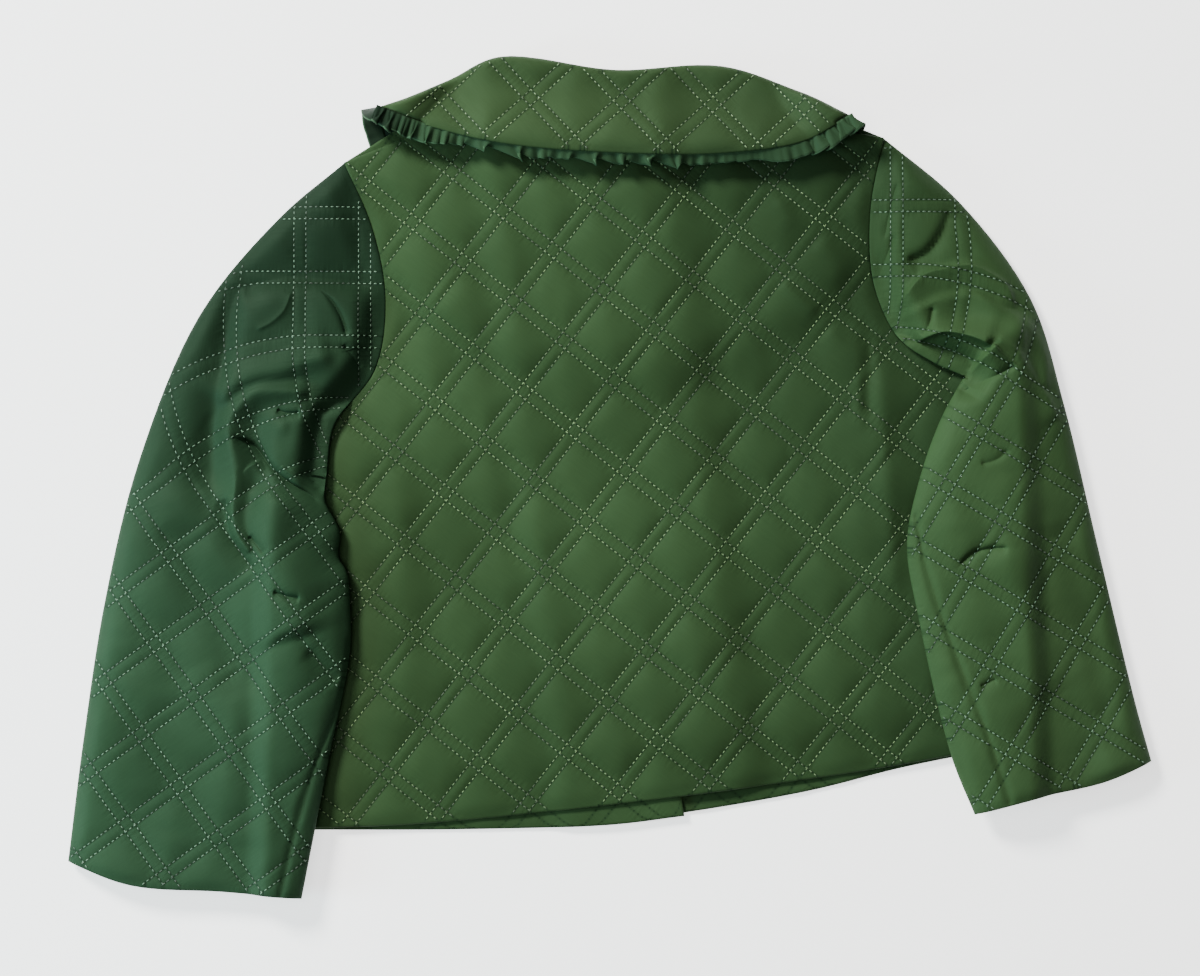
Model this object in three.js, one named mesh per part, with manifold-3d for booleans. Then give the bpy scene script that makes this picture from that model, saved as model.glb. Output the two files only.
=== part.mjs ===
import * as THREE from 'three';
import { mergeVertices } from 'three/addons/utils/BufferGeometryUtils.js';
import Module from 'manifold-3d';

// A quilted jacket laid flat, face down. +Y runs up the centre back to the collar, +Z up from the
// table. All sizes are millimetres, and all plan points are in one frame before the part is centred.

const wasm = await Module();
wasm.setup();

// Cloth
const SEAM_GAP = 0.3;
const WALL = 2.5;
const PUFF = 3.5;
const FRONT_WALL = 3;
const QUILT_PITCH = 48;
const SAMPLES = 4;
const STEP = (QUILT_PITCH * Math.SQRT2) / SAMPLES;
const PLAIN_PACE = 2;
const PINCH = 9;

// How the layers lie
const COLLAR_LIFT = 4.6;
const LIFT_FADE = { from: 1.2, run: 0.3 };
const FRONT_OVERLAP = { from: -44, to: -4, clear: 36, ramp: 34 };
const SLEEVE_LOFT = 15;
const SLEEVE_HEAD = 1.4;
const HEAD_RISE = 24;
const SETTLING = 0.8;
const LEAST_HOLLOW = 0.8;
const FOLD_EDGE = 6;
const FOLD_ROLL = 34;
const BODY_CLEARANCE = 0.9;
const FALL_CLEARANCE = { roll: 0.8, edge: 8.5, depth: 58, tipFrom: 110, tipRun: 50 };
const HIGH = 80;
const CLEAR_OF_TABLE = 0.1;
const FOOT = -30;
const CURVE_STEPS = 8;

// The neck, about which the collar is drawn: u runs along it to the right and v up it
const NECK = { x: 11, y: 308, turn: THREE.MathUtils.degToRad(-8.9) };
const COLLAR_FRONT = { outer: [180, 165], inner: [97, 95], from: 190, to: 262 };
const COLLAR_TOP = [[-176.5, -30], [-153, -21], [-123, -6], [-87, 12], [0, 5], [80, 11], [139, -7], [177, -24]];
const COLLAR_SEAM = [[-176.5, -30], [-145, -41], [-85, -54], [0, -58.5], [80, -56], [141, -45], [177, -24]];
const NECKLINE = [[-92, -22], [-50, -33], [0, -37], [50, -33], [92, -22]];
const STAND = { half: 84, necklineHalf: 92 };
const OPEN_BELOW = 40;
const NECK_HOLE = { below: 60, above: 60 };
const COLLAR_ENDS = 4;
const RUFFLE = {
  wide: 12.5, thick: 1.2, droop: 4, backWaves: 24, frontWaves: 13, samples: 6, backSwing: 3.4, frontSwing: 0.9,
};

// Plan of the body
const HEM_BACK = [[-290, -222], [-202, -229], [-51, -232], [123, -230], [236, -224]];
const HEM_FRONT_LEFT = [[-290, -223], [-172, -237], [-60, -247], [-4, -247]];
const HEM_FRONT_RIGHT = [[-44, -246], [42, -243], [99, -239], [161, -231], [236, -225]];
const ARMHOLE_LEFT = [[-198, 269], [-183, 217], [-180, 164], [-194, 113], [-229, 75], [-239, 39]];
const ARMHOLE_RIGHT = [[205, 239], [188, 183], [185, 130], [199, 88], [220, 69], [243, 55]];
const PIT_LEFT = [-255, 30];
const PIT_RIGHT = [258, 44];
const SIDE_EASE = { clear: 19, ramp: 24, top: 102, fade: 24 };

// Each sleeve: its outline's edges, and the arm's line, straight then bent and straight again
const SLEEVES = {
  left: {
    armhole: ARMHOLE_LEFT,
    outer: [[-198, 269], [-251, 234], [-319, 169], [-377, 67], [-415, -34], [-444, -137], [-466, -225]],
    cuff: [[-466, -225], [-420, -248], [-352, -261], [-295, -273]],
    inner: [[-295, -273], [-263, -174], [-236, -94], [-231, -49], [-238, 10], [-239, 39]],
    arm: { start: [-190, 165], heading: -142, straight: 52, radius: 200, turn: 36 },
    quiltFrom: [-8, -15],
    side: { from: PIT_LEFT, to: [-290, -222], inwards: 1 },
    folds: [
      { through: [[-188, 131], [-246, 149], [-285, 143], [-312, 110]], high: 8, wide: 15 },
      { through: [[-237, 99], [-282, 107], [-311, 88], [-312, 59], [-305, 35]], high: 11, wide: 15 },
      { through: [[-270, 36], [-279, -43]], high: 8, wide: 28 },
      { through: [[-317, 188], [-336, 62]], high: -4, wide: 22 },
      { through: [[-290, 68], [-278, 47], [-250, 25]], high: -8, wide: 11 },
    ],
  },
  right: {
    armhole: ARMHOLE_RIGHT,
    outer: [[205, 239], [256, 184], [300, 106], [315, 26], [327, -79], [341, -201], [348, -248]],
    cuff: [[348, -248], [309, -259], [259, -264], [211, -271]],
    inner: [[211, -271], [199, -226], [187, -120], [185, -65], [200, -18], [222, 26], [243, 55]],
    arm: { start: [190, 150], heading: -51.9, straight: 24, radius: 180, turn: -31 },
    quiltFrom: [16, 3],
    side: { from: PIT_RIGHT, to: [236, -224], inwards: -1 },
    folds: [
      { through: [[255, 138], [281, 119], [285, 77]], high: 7, wide: 13 },
      { through: [[202, 110], [240, 114], [269, 103], [287, 73]], high: 10, wide: 13 },
      { through: [[282, 85], [298, 30], [305, -4]], high: 7, wide: 16 },
      { through: [[203, 122], [216, 130], [243, 139]], high: -6, wide: 10 },
      { through: [[251, 49], [279, 59]], high: -6, wide: 10 },
      { through: [[224, -83], [255, -75]], high: -3, wide: 12 },
    ],
  },
};

// A sleeve's hollow: how far inside the outline it keeps, the doubled points left off at its corners,
// how many insets it runs past the open ends, and the stretch of the armhole that it opens
const HOLLOW = { inset: 3.5, cornerPoints: 3, past: 3, mouth: { from: 4, to: -5 } };

const FINISHES = {
  shell: { color: 0x42643c, roughness: 0.55, metalness: 0 },
  sleeve: { color: 0x3f6a4d, roughness: 0.55, metalness: 0 },
  collar: { color: 0x50764c, roughness: 0.5, metalness: 0 },
};

// Plan helpers
const ease = (x) => THREE.MathUtils.smootherstep(x, 0, 1);
const mix = THREE.MathUtils.lerp;
const modulo = THREE.MathUtils.euclideanModulo;

function smooth(points, steps = CURVE_STEPS) {
  const curve = new THREE.CatmullRomCurve3(
    points.map(([x, y]) => new THREE.Vector3(x, y, 0)), false, 'centripetal',
  );
  return curve.getPoints((points.length - 1) * steps).map((p) => [p.x, p.y]);
}

function distanceTo(line, x, y) {
  let nearest = Infinity;
  for (let i = 1; i < line.length; i += 1) {
    const [ax, ay] = line[i - 1];
    const [dx, dy] = [line[i][0] - ax, line[i][1] - ay];
    const along = THREE.MathUtils.clamp(((x - ax) * dx + (y - ay) * dy) / (dx * dx + dy * dy || 1), 0, 1);
    nearest = Math.min(nearest, Math.hypot(x - ax - along * dx, y - ay - along * dy));
  }
  return nearest;
}

function movedSideways(line, distance) {
  return line.map(([x, y], i) => {
    const [ax, ay] = line[Math.max(i - 1, 0)];
    const [bx, by] = line[Math.min(i + 1, line.length - 1)];
    const length = Math.hypot(bx - ax, by - ay);
    return [x + (distance * (by - ay)) / length, y - (distance * (bx - ax)) / length];
  });
}

function fromNeck([u, v]) {
  const [c, s] = [Math.cos(NECK.turn), Math.sin(NECK.turn)];
  return [NECK.x + u * c - v * s, NECK.y + u * s + v * c];
}

function toNeck(x, y) {
  const [c, s] = [Math.cos(NECK.turn), Math.sin(NECK.turn)];
  const [dx, dy] = [x - NECK.x, y - NECK.y];
  return [dx * c + dy * s, -dx * s + dy * c];
}

function ellipse([a, b], from, to, steps = 16) {
  return Array.from({ length: steps + 1 }, (_, i) => {
    const angle = THREE.MathUtils.degToRad(mix(from, to, i / steps));
    return [a * Math.cos(angle), b * Math.sin(angle)];
  });
}

// Solid helpers
function solidOf(geometry) {
  const bare = geometry.clone();
  bare.deleteAttribute('normal');
  bare.deleteAttribute('uv');
  const merged = mergeVertices(bare);
  return new wasm.Manifold(new wasm.Mesh({
    numProp: 3,
    vertProperties: new Float32Array(merged.attributes.position.array),
    triVerts: new Uint32Array(merged.index.array),
  }));
}

function geometryOf(solid) {
  const { vertProperties, triVerts } = solid.getMesh();
  const geometry = new THREE.BufferGeometry();
  geometry.setAttribute('position', new THREE.BufferAttribute(new Float32Array(vertProperties), 3));
  geometry.setIndex(new THREE.BufferAttribute(new Uint32Array(triVerts), 1));
  geometry.computeVertexNormals();
  return geometry;
}

function prism(outline, bottom, top) {
  const shape = new THREE.Shape(outline.map(([x, y]) => new THREE.Vector2(x, y)));
  const geometry = new THREE.ExtrudeGeometry(shape, { depth: top - bottom, bevelEnabled: false });
  return solidOf(geometry.translate(0, 0, bottom));
}

// A block on a grid of squares, SAMPLES to a diamond, whose diagonals follow the stitch lines. A pace
// of more than 1 makes each square that many samples wide, for the plain surfaces.
function block({ place, from, to }, height, pace = 1) {
  const columns = Math.ceil((to[0] - from[0]) / pace) + 1;
  const rows = Math.ceil((to[1] - from[1]) / pace) + 1;
  const positions = [];
  for (const top of [true, false]) {
    for (let i = 0; i < columns; i += 1) {
      for (let j = 0; j < rows; j += 1) {
        const [s, t] = [(from[0] + i * pace) * STEP, (from[1] + j * pace) * STEP];
        const [x, y] = place(s, t);
        positions.push(x, y, top ? height(x, y, s, t) : FOOT);
      }
    }
  }
  const foot = columns * rows;
  const at = (i, j) => i * rows + j;
  const index = [];
  const square = (i, j) => {
    const [a, b, c, d] = [at(i, j), at(i + 1, j), at(i + 1, j + 1), at(i, j + 1)];
    const [gi, gj] = [from[0] + i, from[1] + j];
    const rising = modulo(gi - gj, SAMPLES) === 0
      || (modulo(gi + gj + 1, SAMPLES) !== 0 && modulo(gi + gj, 2) === 0);
    const faces = rising ? [a, b, c, a, c, d] : [a, b, d, b, c, d];
    index.push(...faces, ...faces.map((v) => v + foot).reverse());
  };
  const wall = (a, b) => index.push(a, a + foot, b, b, a + foot, b + foot);
  for (let i = 0; i < columns - 1; i += 1) {
    for (let j = 0; j < rows - 1; j += 1) {
      square(i, j);
    }
    wall(at(i, 0), at(i + 1, 0));
    wall(at(i + 1, rows - 1), at(i, rows - 1));
  }
  for (let j = 0; j < rows - 1; j += 1) {
    wall(at(columns - 1, j), at(columns - 1, j + 1));
    wall(at(0, j + 1), at(0, j));
  }
  const geometry = new THREE.BufferGeometry();
  geometry.setAttribute('position', new THREE.Float32BufferAttribute(positions, 3));
  geometry.setIndex(index);
  return solidOf(geometry);
}

// The quilting: a pillow in each diamond between the stitch lines
function pillow(across) {
  return 1 - Math.abs(2 * modulo(across / QUILT_PITCH, 1) - 1) ** 3;
}

function puff(s, t) {
  return PUFF * pillow((s + t) / Math.SQRT2) * pillow((s - t) / Math.SQRT2);
}

// Layouts: where the lattice lies on each panel
const BACK_LAYOUT = {
  place: (s, t) => [s - 16.7, t + 82.9],
  from: [-18, -20],
  to: [18, 16],
};
const COLLAR_LAYOUT = {
  place: (s, t) => fromNeck([s + 5.6, t - 19]),
  from: [-12, -6],
  to: [12, 4],
};

function armPoint({ start, heading, straight, radius, turn }, s, t) {
  const bend = THREE.MathUtils.degToRad(Math.abs(turn)) * radius;
  const [first, arc, last] = [
    Math.min(s, straight),
    THREE.MathUtils.clamp(s - straight, 0, bend),
    Math.max(s - straight - bend, 0),
  ];
  const h0 = THREE.MathUtils.degToRad(heading);
  const side = Math.sign(turn);
  const h1 = h0 + (side * arc) / radius;
  const centre = [
    start[0] + first * Math.cos(h0) - side * radius * Math.sin(h0),
    start[1] + first * Math.sin(h0) + side * radius * Math.cos(h0),
  ];
  return [
    centre[0] + (side * radius - t) * Math.sin(h1) + last * Math.cos(h1),
    centre[1] - (side * radius - t) * Math.cos(h1) + last * Math.sin(h1),
  ];
}

// Heights of the layers, from the table up
function collarLift(x, y) {
  const [u, v] = toNeck(x, y);
  const reach = Math.hypot(u / COLLAR_FRONT.outer[0], v / COLLAR_FRONT.outer[1]);
  return COLLAR_LIFT * (1 - ease((reach - LIFT_FADE.from) / LIFT_FADE.run));
}

function lapUp(x) {
  const { from, clear, ramp } = FRONT_OVERLAP;
  return (FRONT_WALL + SEAM_GAP) * ease((x - from + clear + ramp) / ramp);
}

function lapDown(x) {
  const { to, clear, ramp } = FRONT_OVERLAP;
  return 1 - ease((x - to - clear) / ramp);
}

const backUnder = (x, y) => collarLift(x, y) + FRONT_WALL + SEAM_GAP + lapUp(x) * lapDown(x);

// The back panel
const armholeLeft = smooth(ARMHOLE_LEFT);
const armholeRight = smooth(ARMHOLE_RIGHT);
const neckline = smooth(NECKLINE).map(fromNeck);
const backOutline = [
  ...smooth(HEM_BACK),
  PIT_RIGHT,
  ...armholeRight.slice().reverse(),
  ...neckline.slice().reverse(),
  ...armholeLeft,
  PIT_LEFT,
];
const backRim = [...backOutline, backOutline[0]];

function backTop(x, y, s, t) {
  return backUnder(x, y) + WALL + puff(s, t) * ease(distanceTo(backRim, x, y) / PINCH);
}

function buildBack() {
  return block(BACK_LAYOUT, backTop)
    .intersect(prism(backOutline, 0, HIGH))
    .subtract(block(BACK_LAYOUT, backUnder, PLAIN_PACE));
}

// The fronts, their outer sides on the table, the left one lapping over the right at the closing
const frontNeck = ellipse(COLLAR_FRONT.inner, 180, 360).map(fromNeck);

function frontOutline(side) {
  const inner = side === 'left' ? FRONT_OVERLAP.to : FRONT_OVERLAP.from;
  const neck = frontNeck.filter(([x]) => (side === 'left' ? x < inner : x > inner));
  const [, neckY] = side === 'left' ? neck[neck.length - 1] : neck[0];
  return side === 'left'
    ? [...smooth(HEM_FRONT_LEFT), [inner, neckY], ...neck.reverse(), ...armholeLeft, PIT_LEFT]
    : [...smooth(HEM_FRONT_RIGHT), PIT_RIGHT, ...armholeRight.slice().reverse(), ...neck.reverse(), [inner, neckY]];
}

function buildFront(side) {
  const under = (x, y) => collarLift(x, y) + (side === 'left' ? lapUp(x) : 0);
  return block(BACK_LAYOUT, (x, y) => under(x, y) + FRONT_WALL, PLAIN_PACE)
    .intersect(prism(frontOutline(side), 0, HIGH))
    .subtract(block(BACK_LAYOUT, under, PLAIN_PACE));
}

// A sleeve: a flattened tube open at the cuff and the armhole, lying on the body's side
function buildSleeve({ armhole, outer, cuff, inner, arm, quiltFrom, side, folds }) {
  const seam = smooth(armhole);
  const edges = [smooth(outer), smooth(inner)];
  const end = smooth(cuff);
  const creases = folds.map((fold) => ({ ...fold, line: smooth(fold.through, 5) }));
  const layout = {
    place: (s, t) => armPoint(arm, s + quiltFrom[0], t + quiltFrom[1]),
    from: [-8, -10],
    to: [36, 10],
  };
  const under = (x, y) => {
    const sideX = mix(side.from[0], side.to[0], (side.from[1] - y) / (side.from[1] - side.to[1]));
    const inside = side.inwards * (x - sideX) + SIDE_EASE.clear + SIDE_EASE.ramp;
    const body = backUnder(x, y) + WALL + PUFF + BODY_CLEARANCE;
    return body * ease(inside / SIDE_EASE.ramp) * ease((SIDE_EASE.top - y) / SIDE_EASE.fade);
  };
  const loft = (x, y) => {
    const edge = Math.min(distanceTo(edges[0], x, y), distanceTo(edges[1], x, y), FOLD_ROLL) / FOLD_ROLL;
    const dome = mix(FOLD_EDGE, SLEEVE_LOFT, Math.sqrt(1 - (1 - edge) ** 2));
    const heights = creases.map(
      ({ line, high, wide }) => high * Math.exp(-((distanceTo(line, x, y) / wide) ** 2)),
    );
    const creased = Math.max(0, ...heights) + Math.min(0, ...heights);
    const atSeam = backUnder(x, y) + WALL + PUFF + SLEEVE_HEAD;
    const full = under(x, y) * SETTLING + dome + creased * ease(edge * 2);
    const height = mix(atSeam, full, ease(distanceTo(seam, x, y) / HEAD_RISE));
    return Math.max(height, under(x, y) + 2 * WALL + LEAST_HOLLOW);
  };
  const nearEnd = (x, y) => ease(Math.min(distanceTo(seam, x, y), distanceTo(cuff, x, y)) / PINCH);
  const outline = [
    ...movedSideways(seam, side.inwards * SEAM_GAP).reverse(),
    ...edges[0].slice(1),
    ...end.slice(1, -1),
    ...edges[1].slice(0, -1),
  ];
  const inset = side.inwards * HOLLOW.inset;
  const hollowOutline = [
    ...movedSideways(seam, inset).slice(HOLLOW.cornerPoints).reverse(),
    ...movedSideways(edges[0], -inset).slice(HOLLOW.cornerPoints),
    ...movedSideways(end, HOLLOW.past * inset),
    ...movedSideways(edges[1], -inset),
  ];
  const mouth = seam.slice(HOLLOW.mouth.from, HOLLOW.mouth.to);
  const mouthOutline = [
    ...movedSideways(mouth, -HOLLOW.past * inset),
    ...movedSideways(mouth, HOLLOW.past * inset).reverse(),
  ];
  const shell = block(layout, (x, y, s, t) => loft(x, y) + puff(s, t) * nearEnd(x, y))
    .intersect(prism(outline, 0, HIGH))
    .subtract(block(layout, under));
  const hollow = block(layout, (x, y) => loft(x, y) - WALL)
    .intersect(prism(hollowOutline, CLEAR_OF_TABLE, HIGH).add(prism(mouthOutline, CLEAR_OF_TABLE, HIGH)))
    .subtract(block(layout, (x, y) => under(x, y) + WALL));
  return shell.subtract(hollow);
}

// The collar: its fall lies over the back, rolls over at the top, and its front halves lie under
// the fronts, with the stand in the back's own plane
function fallUnder(x, y) {
  const [u, v] = toNeck(x, y);
  const { roll, edge, depth, tipFrom, tipRun } = FALL_CLEARANCE;
  const lifted = Math.max(ease(-v / depth), ease((Math.abs(u) - tipFrom) / tipRun));
  return backUnder(x, y) + WALL + PUFF + mix(roll, edge, lifted);
}

function buildCollar() {
  const top = smooth(COLLAR_TOP);
  const seam = smooth(COLLAR_SEAM);
  const rim = [...top, ...seam.slice().reverse()].map(fromNeck);
  const fall = [...seam, ...top.slice(1, -1).reverse()].map(fromNeck);
  const beyond = seam.map(([u, v]) => [u, v - OPEN_BELOW]);
  const pocket = [...beyond, ...movedSideways(top, WALL).reverse()].map(fromNeck);
  const neckHole = [
    ...smooth(NECKLINE).map(([u, v]) => [u, v - NECK_HOLE.below]),
    [STAND.half, NECK_HOLE.above],
    [-STAND.half, NECK_HOLE.above],
  ].map(fromNeck);
  const stand = [
    ...smooth(NECKLINE).map(([u, v]) => [(u * STAND.half) / STAND.necklineHalf, v + SEAM_GAP]),
    ...top.filter(([u]) => Math.abs(u) < STAND.half).reverse(),
  ].map(fromNeck);
  const standZ = COLLAR_LIFT + FRONT_WALL + SEAM_GAP;
  const height = (x, y, s, t) => (
    fallUnder(x, y) + WALL + puff(s, t) * ease(distanceTo(rim, x, y) / PINCH)
  );
  const frontHalf = (turnedTo) => {
    const { outer, inner, from, to } = COLLAR_FRONT;
    const half = [...ellipse(outer, from, to), ...ellipse(inner, to - COLLAR_ENDS, from)];
    return prism(half.map(([u, v]) => [turnedTo * u, v]).map(fromNeck), 0, FRONT_WALL);
  };
  return block(COLLAR_LAYOUT, height)
    .intersect(prism(fall, 0, HIGH))
    .subtract(block(COLLAR_LAYOUT, fallUnder).intersect(prism(pocket, FRONT_WALL, HIGH)))
    .subtract(prism(neckHole, -1, standZ))
    .add(prism(stand, standZ, standZ + WALL))
    .add(frontHalf(1))
    .add(frontHalf(-1));
}

// The ruffle: one gathered strip sewn round the collar's whole outer edge. It runs under the left
// front, round the shoulder, across the back and round to the right front, so its face turns over
// at each shoulder.
function ruffleStretch(points, { z, side, swing, waves, droop }) {
  return points.map(([u, v], i) => {
    const [au, av] = points[Math.max(i - 1, 0)];
    const [bu, bv] = points[Math.min(i + 1, points.length - 1)];
    const length = Math.hypot(bu - au, bv - av);
    const out = new THREE.Vector3((side * (av - bv)) / length, (side * (bu - au)) / length, 0);
    const [x, y] = fromNeck([u, v]);
    return { root: new THREE.Vector3(u, v, z(x, y)), out, swing, droop, waves: waves / points.length };
  });
}

const OTHER_SIDE = 540;
const SHOULDER_ROW = 3;
const SHOULDER_TURN = 4;

function ruffleRows() {
  const { outer, from, to } = COLLAR_FRONT;
  const { thick, frontSwing, frontWaves, backSwing, backWaves, droop, samples } = RUFFLE;
  const front = { z: () => thick + frontSwing, side: 1, swing: frontSwing, waves: frontWaves, droop: 0 };
  const behind = { z: (x, y) => fallUnder(x, y) + WALL / 2, side: -1, swing: backSwing, waves: backWaves, droop };
  const coarse = [
    ...ruffleStretch(ellipse(outer, to, from), front),
    ...ruffleStretch(smooth(COLLAR_SEAM), behind),
    ...ruffleStretch(ellipse(outer, OTHER_SIDE - from, OTHER_SIDE - to), front),
  ];
  const rows = [];
  let wave = 0;
  coarse.slice(1).forEach((b, i) => {
    const a = coarse[i];
    const waves = (a.waves + b.waves) / 2;
    const rise = Math.abs(b.root.z - a.root.z);
    const shoulder = rise > WALL;
    const count = Math.max(2, Math.round(waves * samples), Math.round(rise / SHOULDER_ROW));
    for (let k = 0; k < count; k += 1) {
      const f = k / count;
      const turned = shoulder && b.root.z > a.root.z
        ? f ** SHOULDER_TURN
        : 1 - (1 - f) ** (shoulder ? SHOULDER_TURN : 1);
      rows.push({
        root: a.root.clone().lerp(b.root, f),
        out: a.out.clone().lerp(b.out, turned).normalize(),
        reach: 2 * SEAM_GAP + (shoulder ? Math.sin(Math.PI * f) * WALL : 0),
        swing: mix(a.swing, b.swing, f),
        droop: mix(a.droop, b.droop, f),
        wave: wave + waves * f,
      });
    }
    wave += waves;
  });
  return rows;
}

function buildRuffle() {
  const rows = ruffleRows();
  const points = [];
  rows.forEach(({ root, out, reach, swing, droop, wave }, i) => {
    const along = rows[Math.min(i + 1, rows.length - 1)].root.clone().sub(rows[Math.max(i - 1, 0)].root);
    const face = along.cross(out).normalize();
    const inner = root.clone().addScaledVector(out, reach);
    const outer = root.clone()
      .addScaledVector(out, RUFFLE.wide)
      .addScaledVector(face, swing * Math.sin(2 * Math.PI * wave));
    outer.z -= droop;
    for (const edge of [inner, outer]) {
      for (const side of [0.5, -0.5]) {
        const { x: u, y: v, z } = edge.clone().addScaledVector(face, side * RUFFLE.thick);
        points.push(...fromNeck([u, v]), z);
      }
    }
  });
  const order = [0, 2, 3, 1];
  const ring = order.length;
  const index = [];
  for (let i = 0; i < rows.length - 1; i += 1) {
    order.forEach((from, k) => {
      const [a, b] = [i * ring + from, i * ring + order[(k + 1) % ring]];
      index.push(a, a + ring, b, b, a + ring, b + ring);
    });
  }
  const last = (rows.length - 1) * ring;
  index.push(0, 3, 1, 0, 2, 3, last, last + 1, last + 3, last, last + 3, last + 2);
  const geometry = new THREE.BufferGeometry();
  geometry.setAttribute('position', new THREE.Float32BufferAttribute(points, 3));
  geometry.setIndex(index);
  geometry.computeVertexNormals();
  return geometry;
}

const jacket = new THREE.Group();

function addPiece(name, geometry, finish) {
  const mesh = new THREE.Mesh(geometry, new THREE.MeshStandardMaterial(FINISHES[finish]));
  mesh.name = name;
  jacket.add(mesh);
}

addPiece('front_right', geometryOf(buildFront('right')), 'shell');
addPiece('front_left', geometryOf(buildFront('left')), 'shell');
addPiece('back', geometryOf(buildBack()), 'shell');
addPiece('sleeve_left', geometryOf(buildSleeve(SLEEVES.left)), 'sleeve');
addPiece('sleeve_right', geometryOf(buildSleeve(SLEEVES.right)), 'sleeve');
addPiece('collar', geometryOf(buildCollar()), 'collar');
addPiece('ruffle', buildRuffle(), 'collar');

const bounds = new THREE.Box3().setFromObject(jacket);
const middle = bounds.getCenter(new THREE.Vector3());
jacket.position.set(-middle.x, -middle.y, -bounds.min.z);

export default jacket;
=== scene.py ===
"""A green quilted jacket laid flat, face down, with a ruffled round collar.

Plan sizes are in millimetres, in the garment's own plane. Meshes are made in metres, in the
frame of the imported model.
"""

import logging
import math
from dataclasses import dataclass
from enum import Enum
from typing import Callable, Sequence

import bmesh
import bpy
import numpy as np
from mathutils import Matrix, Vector


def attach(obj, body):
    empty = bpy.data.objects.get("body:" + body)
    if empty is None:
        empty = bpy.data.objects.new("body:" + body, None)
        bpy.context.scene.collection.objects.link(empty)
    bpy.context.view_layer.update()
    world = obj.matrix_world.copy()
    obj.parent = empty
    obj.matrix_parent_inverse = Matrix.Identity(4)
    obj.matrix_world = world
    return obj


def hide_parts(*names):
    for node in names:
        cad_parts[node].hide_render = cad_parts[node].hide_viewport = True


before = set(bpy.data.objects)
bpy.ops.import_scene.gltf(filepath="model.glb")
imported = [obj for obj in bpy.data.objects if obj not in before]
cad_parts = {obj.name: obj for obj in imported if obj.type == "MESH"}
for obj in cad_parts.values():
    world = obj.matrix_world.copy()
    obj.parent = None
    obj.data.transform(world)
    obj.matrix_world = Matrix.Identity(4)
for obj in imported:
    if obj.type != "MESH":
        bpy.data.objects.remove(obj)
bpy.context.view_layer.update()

LOG = logging.getLogger("jacket")
Array = np.ndarray
Points = Sequence[tuple[float, float]]
Height = Callable[[Array, Array, Array, Array], Array]

# Where the garment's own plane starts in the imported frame, in millimetres
ORIGIN = np.array([59.0, -30.158, 0.0])
MM_PER_METRE = 1000
ROOT = "root"
TINY = 1e-9

# Cloth and thread, with the room that quilting needs under what lies on it
SEAM_GAP = 0.3
WALL = 2.5
QUILT_ROOM = 3.5
FRONT_WALL = 3.0
STITCH_LENGTH = 2.5
STITCH_PITCH = 4.0
STITCH_WIDTH = 0.46
STITCH_HEIGHT = 0.34

# How the layers lie
COLLAR_LIFT = 4.6
LAP_FROM = -44.0
LAP_TO = -4.0
LAP_CLEAR = 36.0
LAP_RAMP = 34.0
BODY_CLEARANCE = 0.9

# The neck, about which the collar is drawn: u runs along it to the right and v up it
NECK = (11.0, 308.0)
NECK_TURN = math.radians(-8.9)
FRONT_COLLAR_OUTER = (180.0, 165.0)
FRONT_COLLAR_INNER = (97.0, 95.0)
COLLAR_TOP = (
    (-176.5, -30), (-153, -21), (-123, -6), (-87, 12), (0, 5), (80, 11), (139, -7), (177, -24),
)
COLLAR_SEAM = (
    (-176.5, -30), (-145, -41), (-85, -54), (0, -58.5), (80, -56), (141, -45), (177, -24),
)
NECKLINE = ((-92, -22), (-50, -33), (0, -37), (50, -33), (92, -22))

# Where the front halves stop lifting what lies on them, as shares of their outer ellipse
LIFT_TO = 1.2
LIFT_FADE = 0.3

# Plan of the body
HEM_BACK = ((-290, -222), (-202, -229), (-51, -232), (123, -230), (236, -224))
HEM_FRONT_LEFT = ((-290, -223), (-172, -237), (-60, -247), (-4, -247))
HEM_FRONT_RIGHT = ((-44, -246), (42, -243), (99, -239), (161, -231), (236, -225))
ARMHOLE_LEFT = ((-198, 269), (-183, 217), (-180, 164), (-194, 113), (-229, 75), (-239, 39))
ARMHOLE_RIGHT = ((205, 239), (188, 183), (185, 130), (199, 88), (220, 69), (243, 55))
PIT_LEFT = (-255, 30)
PIT_RIGHT = (258, 44)

# How the sleeves lie over the body's sides and the armholes run on under them
SIDE_CLEAR = 19.0
SIDE_RAMP = 24.0
SIDE_TOP = 102.0
LOWER_SIDE_TOP = 80.0
ARMPIT_FROM = 90.0
ARMPIT_RUN = 22.0
ARMPIT_REACH = 8.0


class Side(Enum):
    """Which side of the photographed garment a piece is on."""

    LEFT = "left"
    RIGHT = "right"


def ease(x: Array) -> Array:
    """A smooth step from 0 to 1 as x goes from 0 to 1."""
    x = np.clip(x, 0.0, 1.0)
    return x * x * x * (x * (6 * x - 15) + 10)


def mix(a: Array, b: Array, share: Array) -> Array:
    """Goes from a to b as share goes from 0 to 1."""
    return a + (b - a) * share


def smooth(points: Points, steps: int = 8) -> Array:
    """Draws a centripetal spline through points.

    Args:
        points: the points in the plane that the line passes through.
        steps: how many pieces each stretch is cut into.

    Returns:
        The line's points, one row each.
    """
    p = np.array(points, float)
    p = np.vstack([2 * p[0] - p[1], p, 2 * p[-1] - p[-2]])
    pace = np.sqrt(np.maximum(np.linalg.norm(np.diff(p, axis=0), axis=1), TINY))
    line = []
    for i in range(1, len(p) - 2):
        d0, d1, d2 = pace[i - 1 : i + 2]
        a, b, c, d = p[i - 1 : i + 3]
        t1 = ((b - a) / d0 - (c - a) / (d0 + d1) + (c - b) / d1) * d1
        t2 = ((c - b) / d1 - (d - b) / (d1 + d2) + (d - c) / d2) * d1
        squared, cubed = 3 * (c - b) - 2 * t1 - t2, 2 * (b - c) + t1 + t2
        for f in np.arange(steps) / steps:
            line.append(b + f * t1 + f * f * squared + f**3 * cubed)
    line.append(p[-2])
    return np.array(line)


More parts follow.
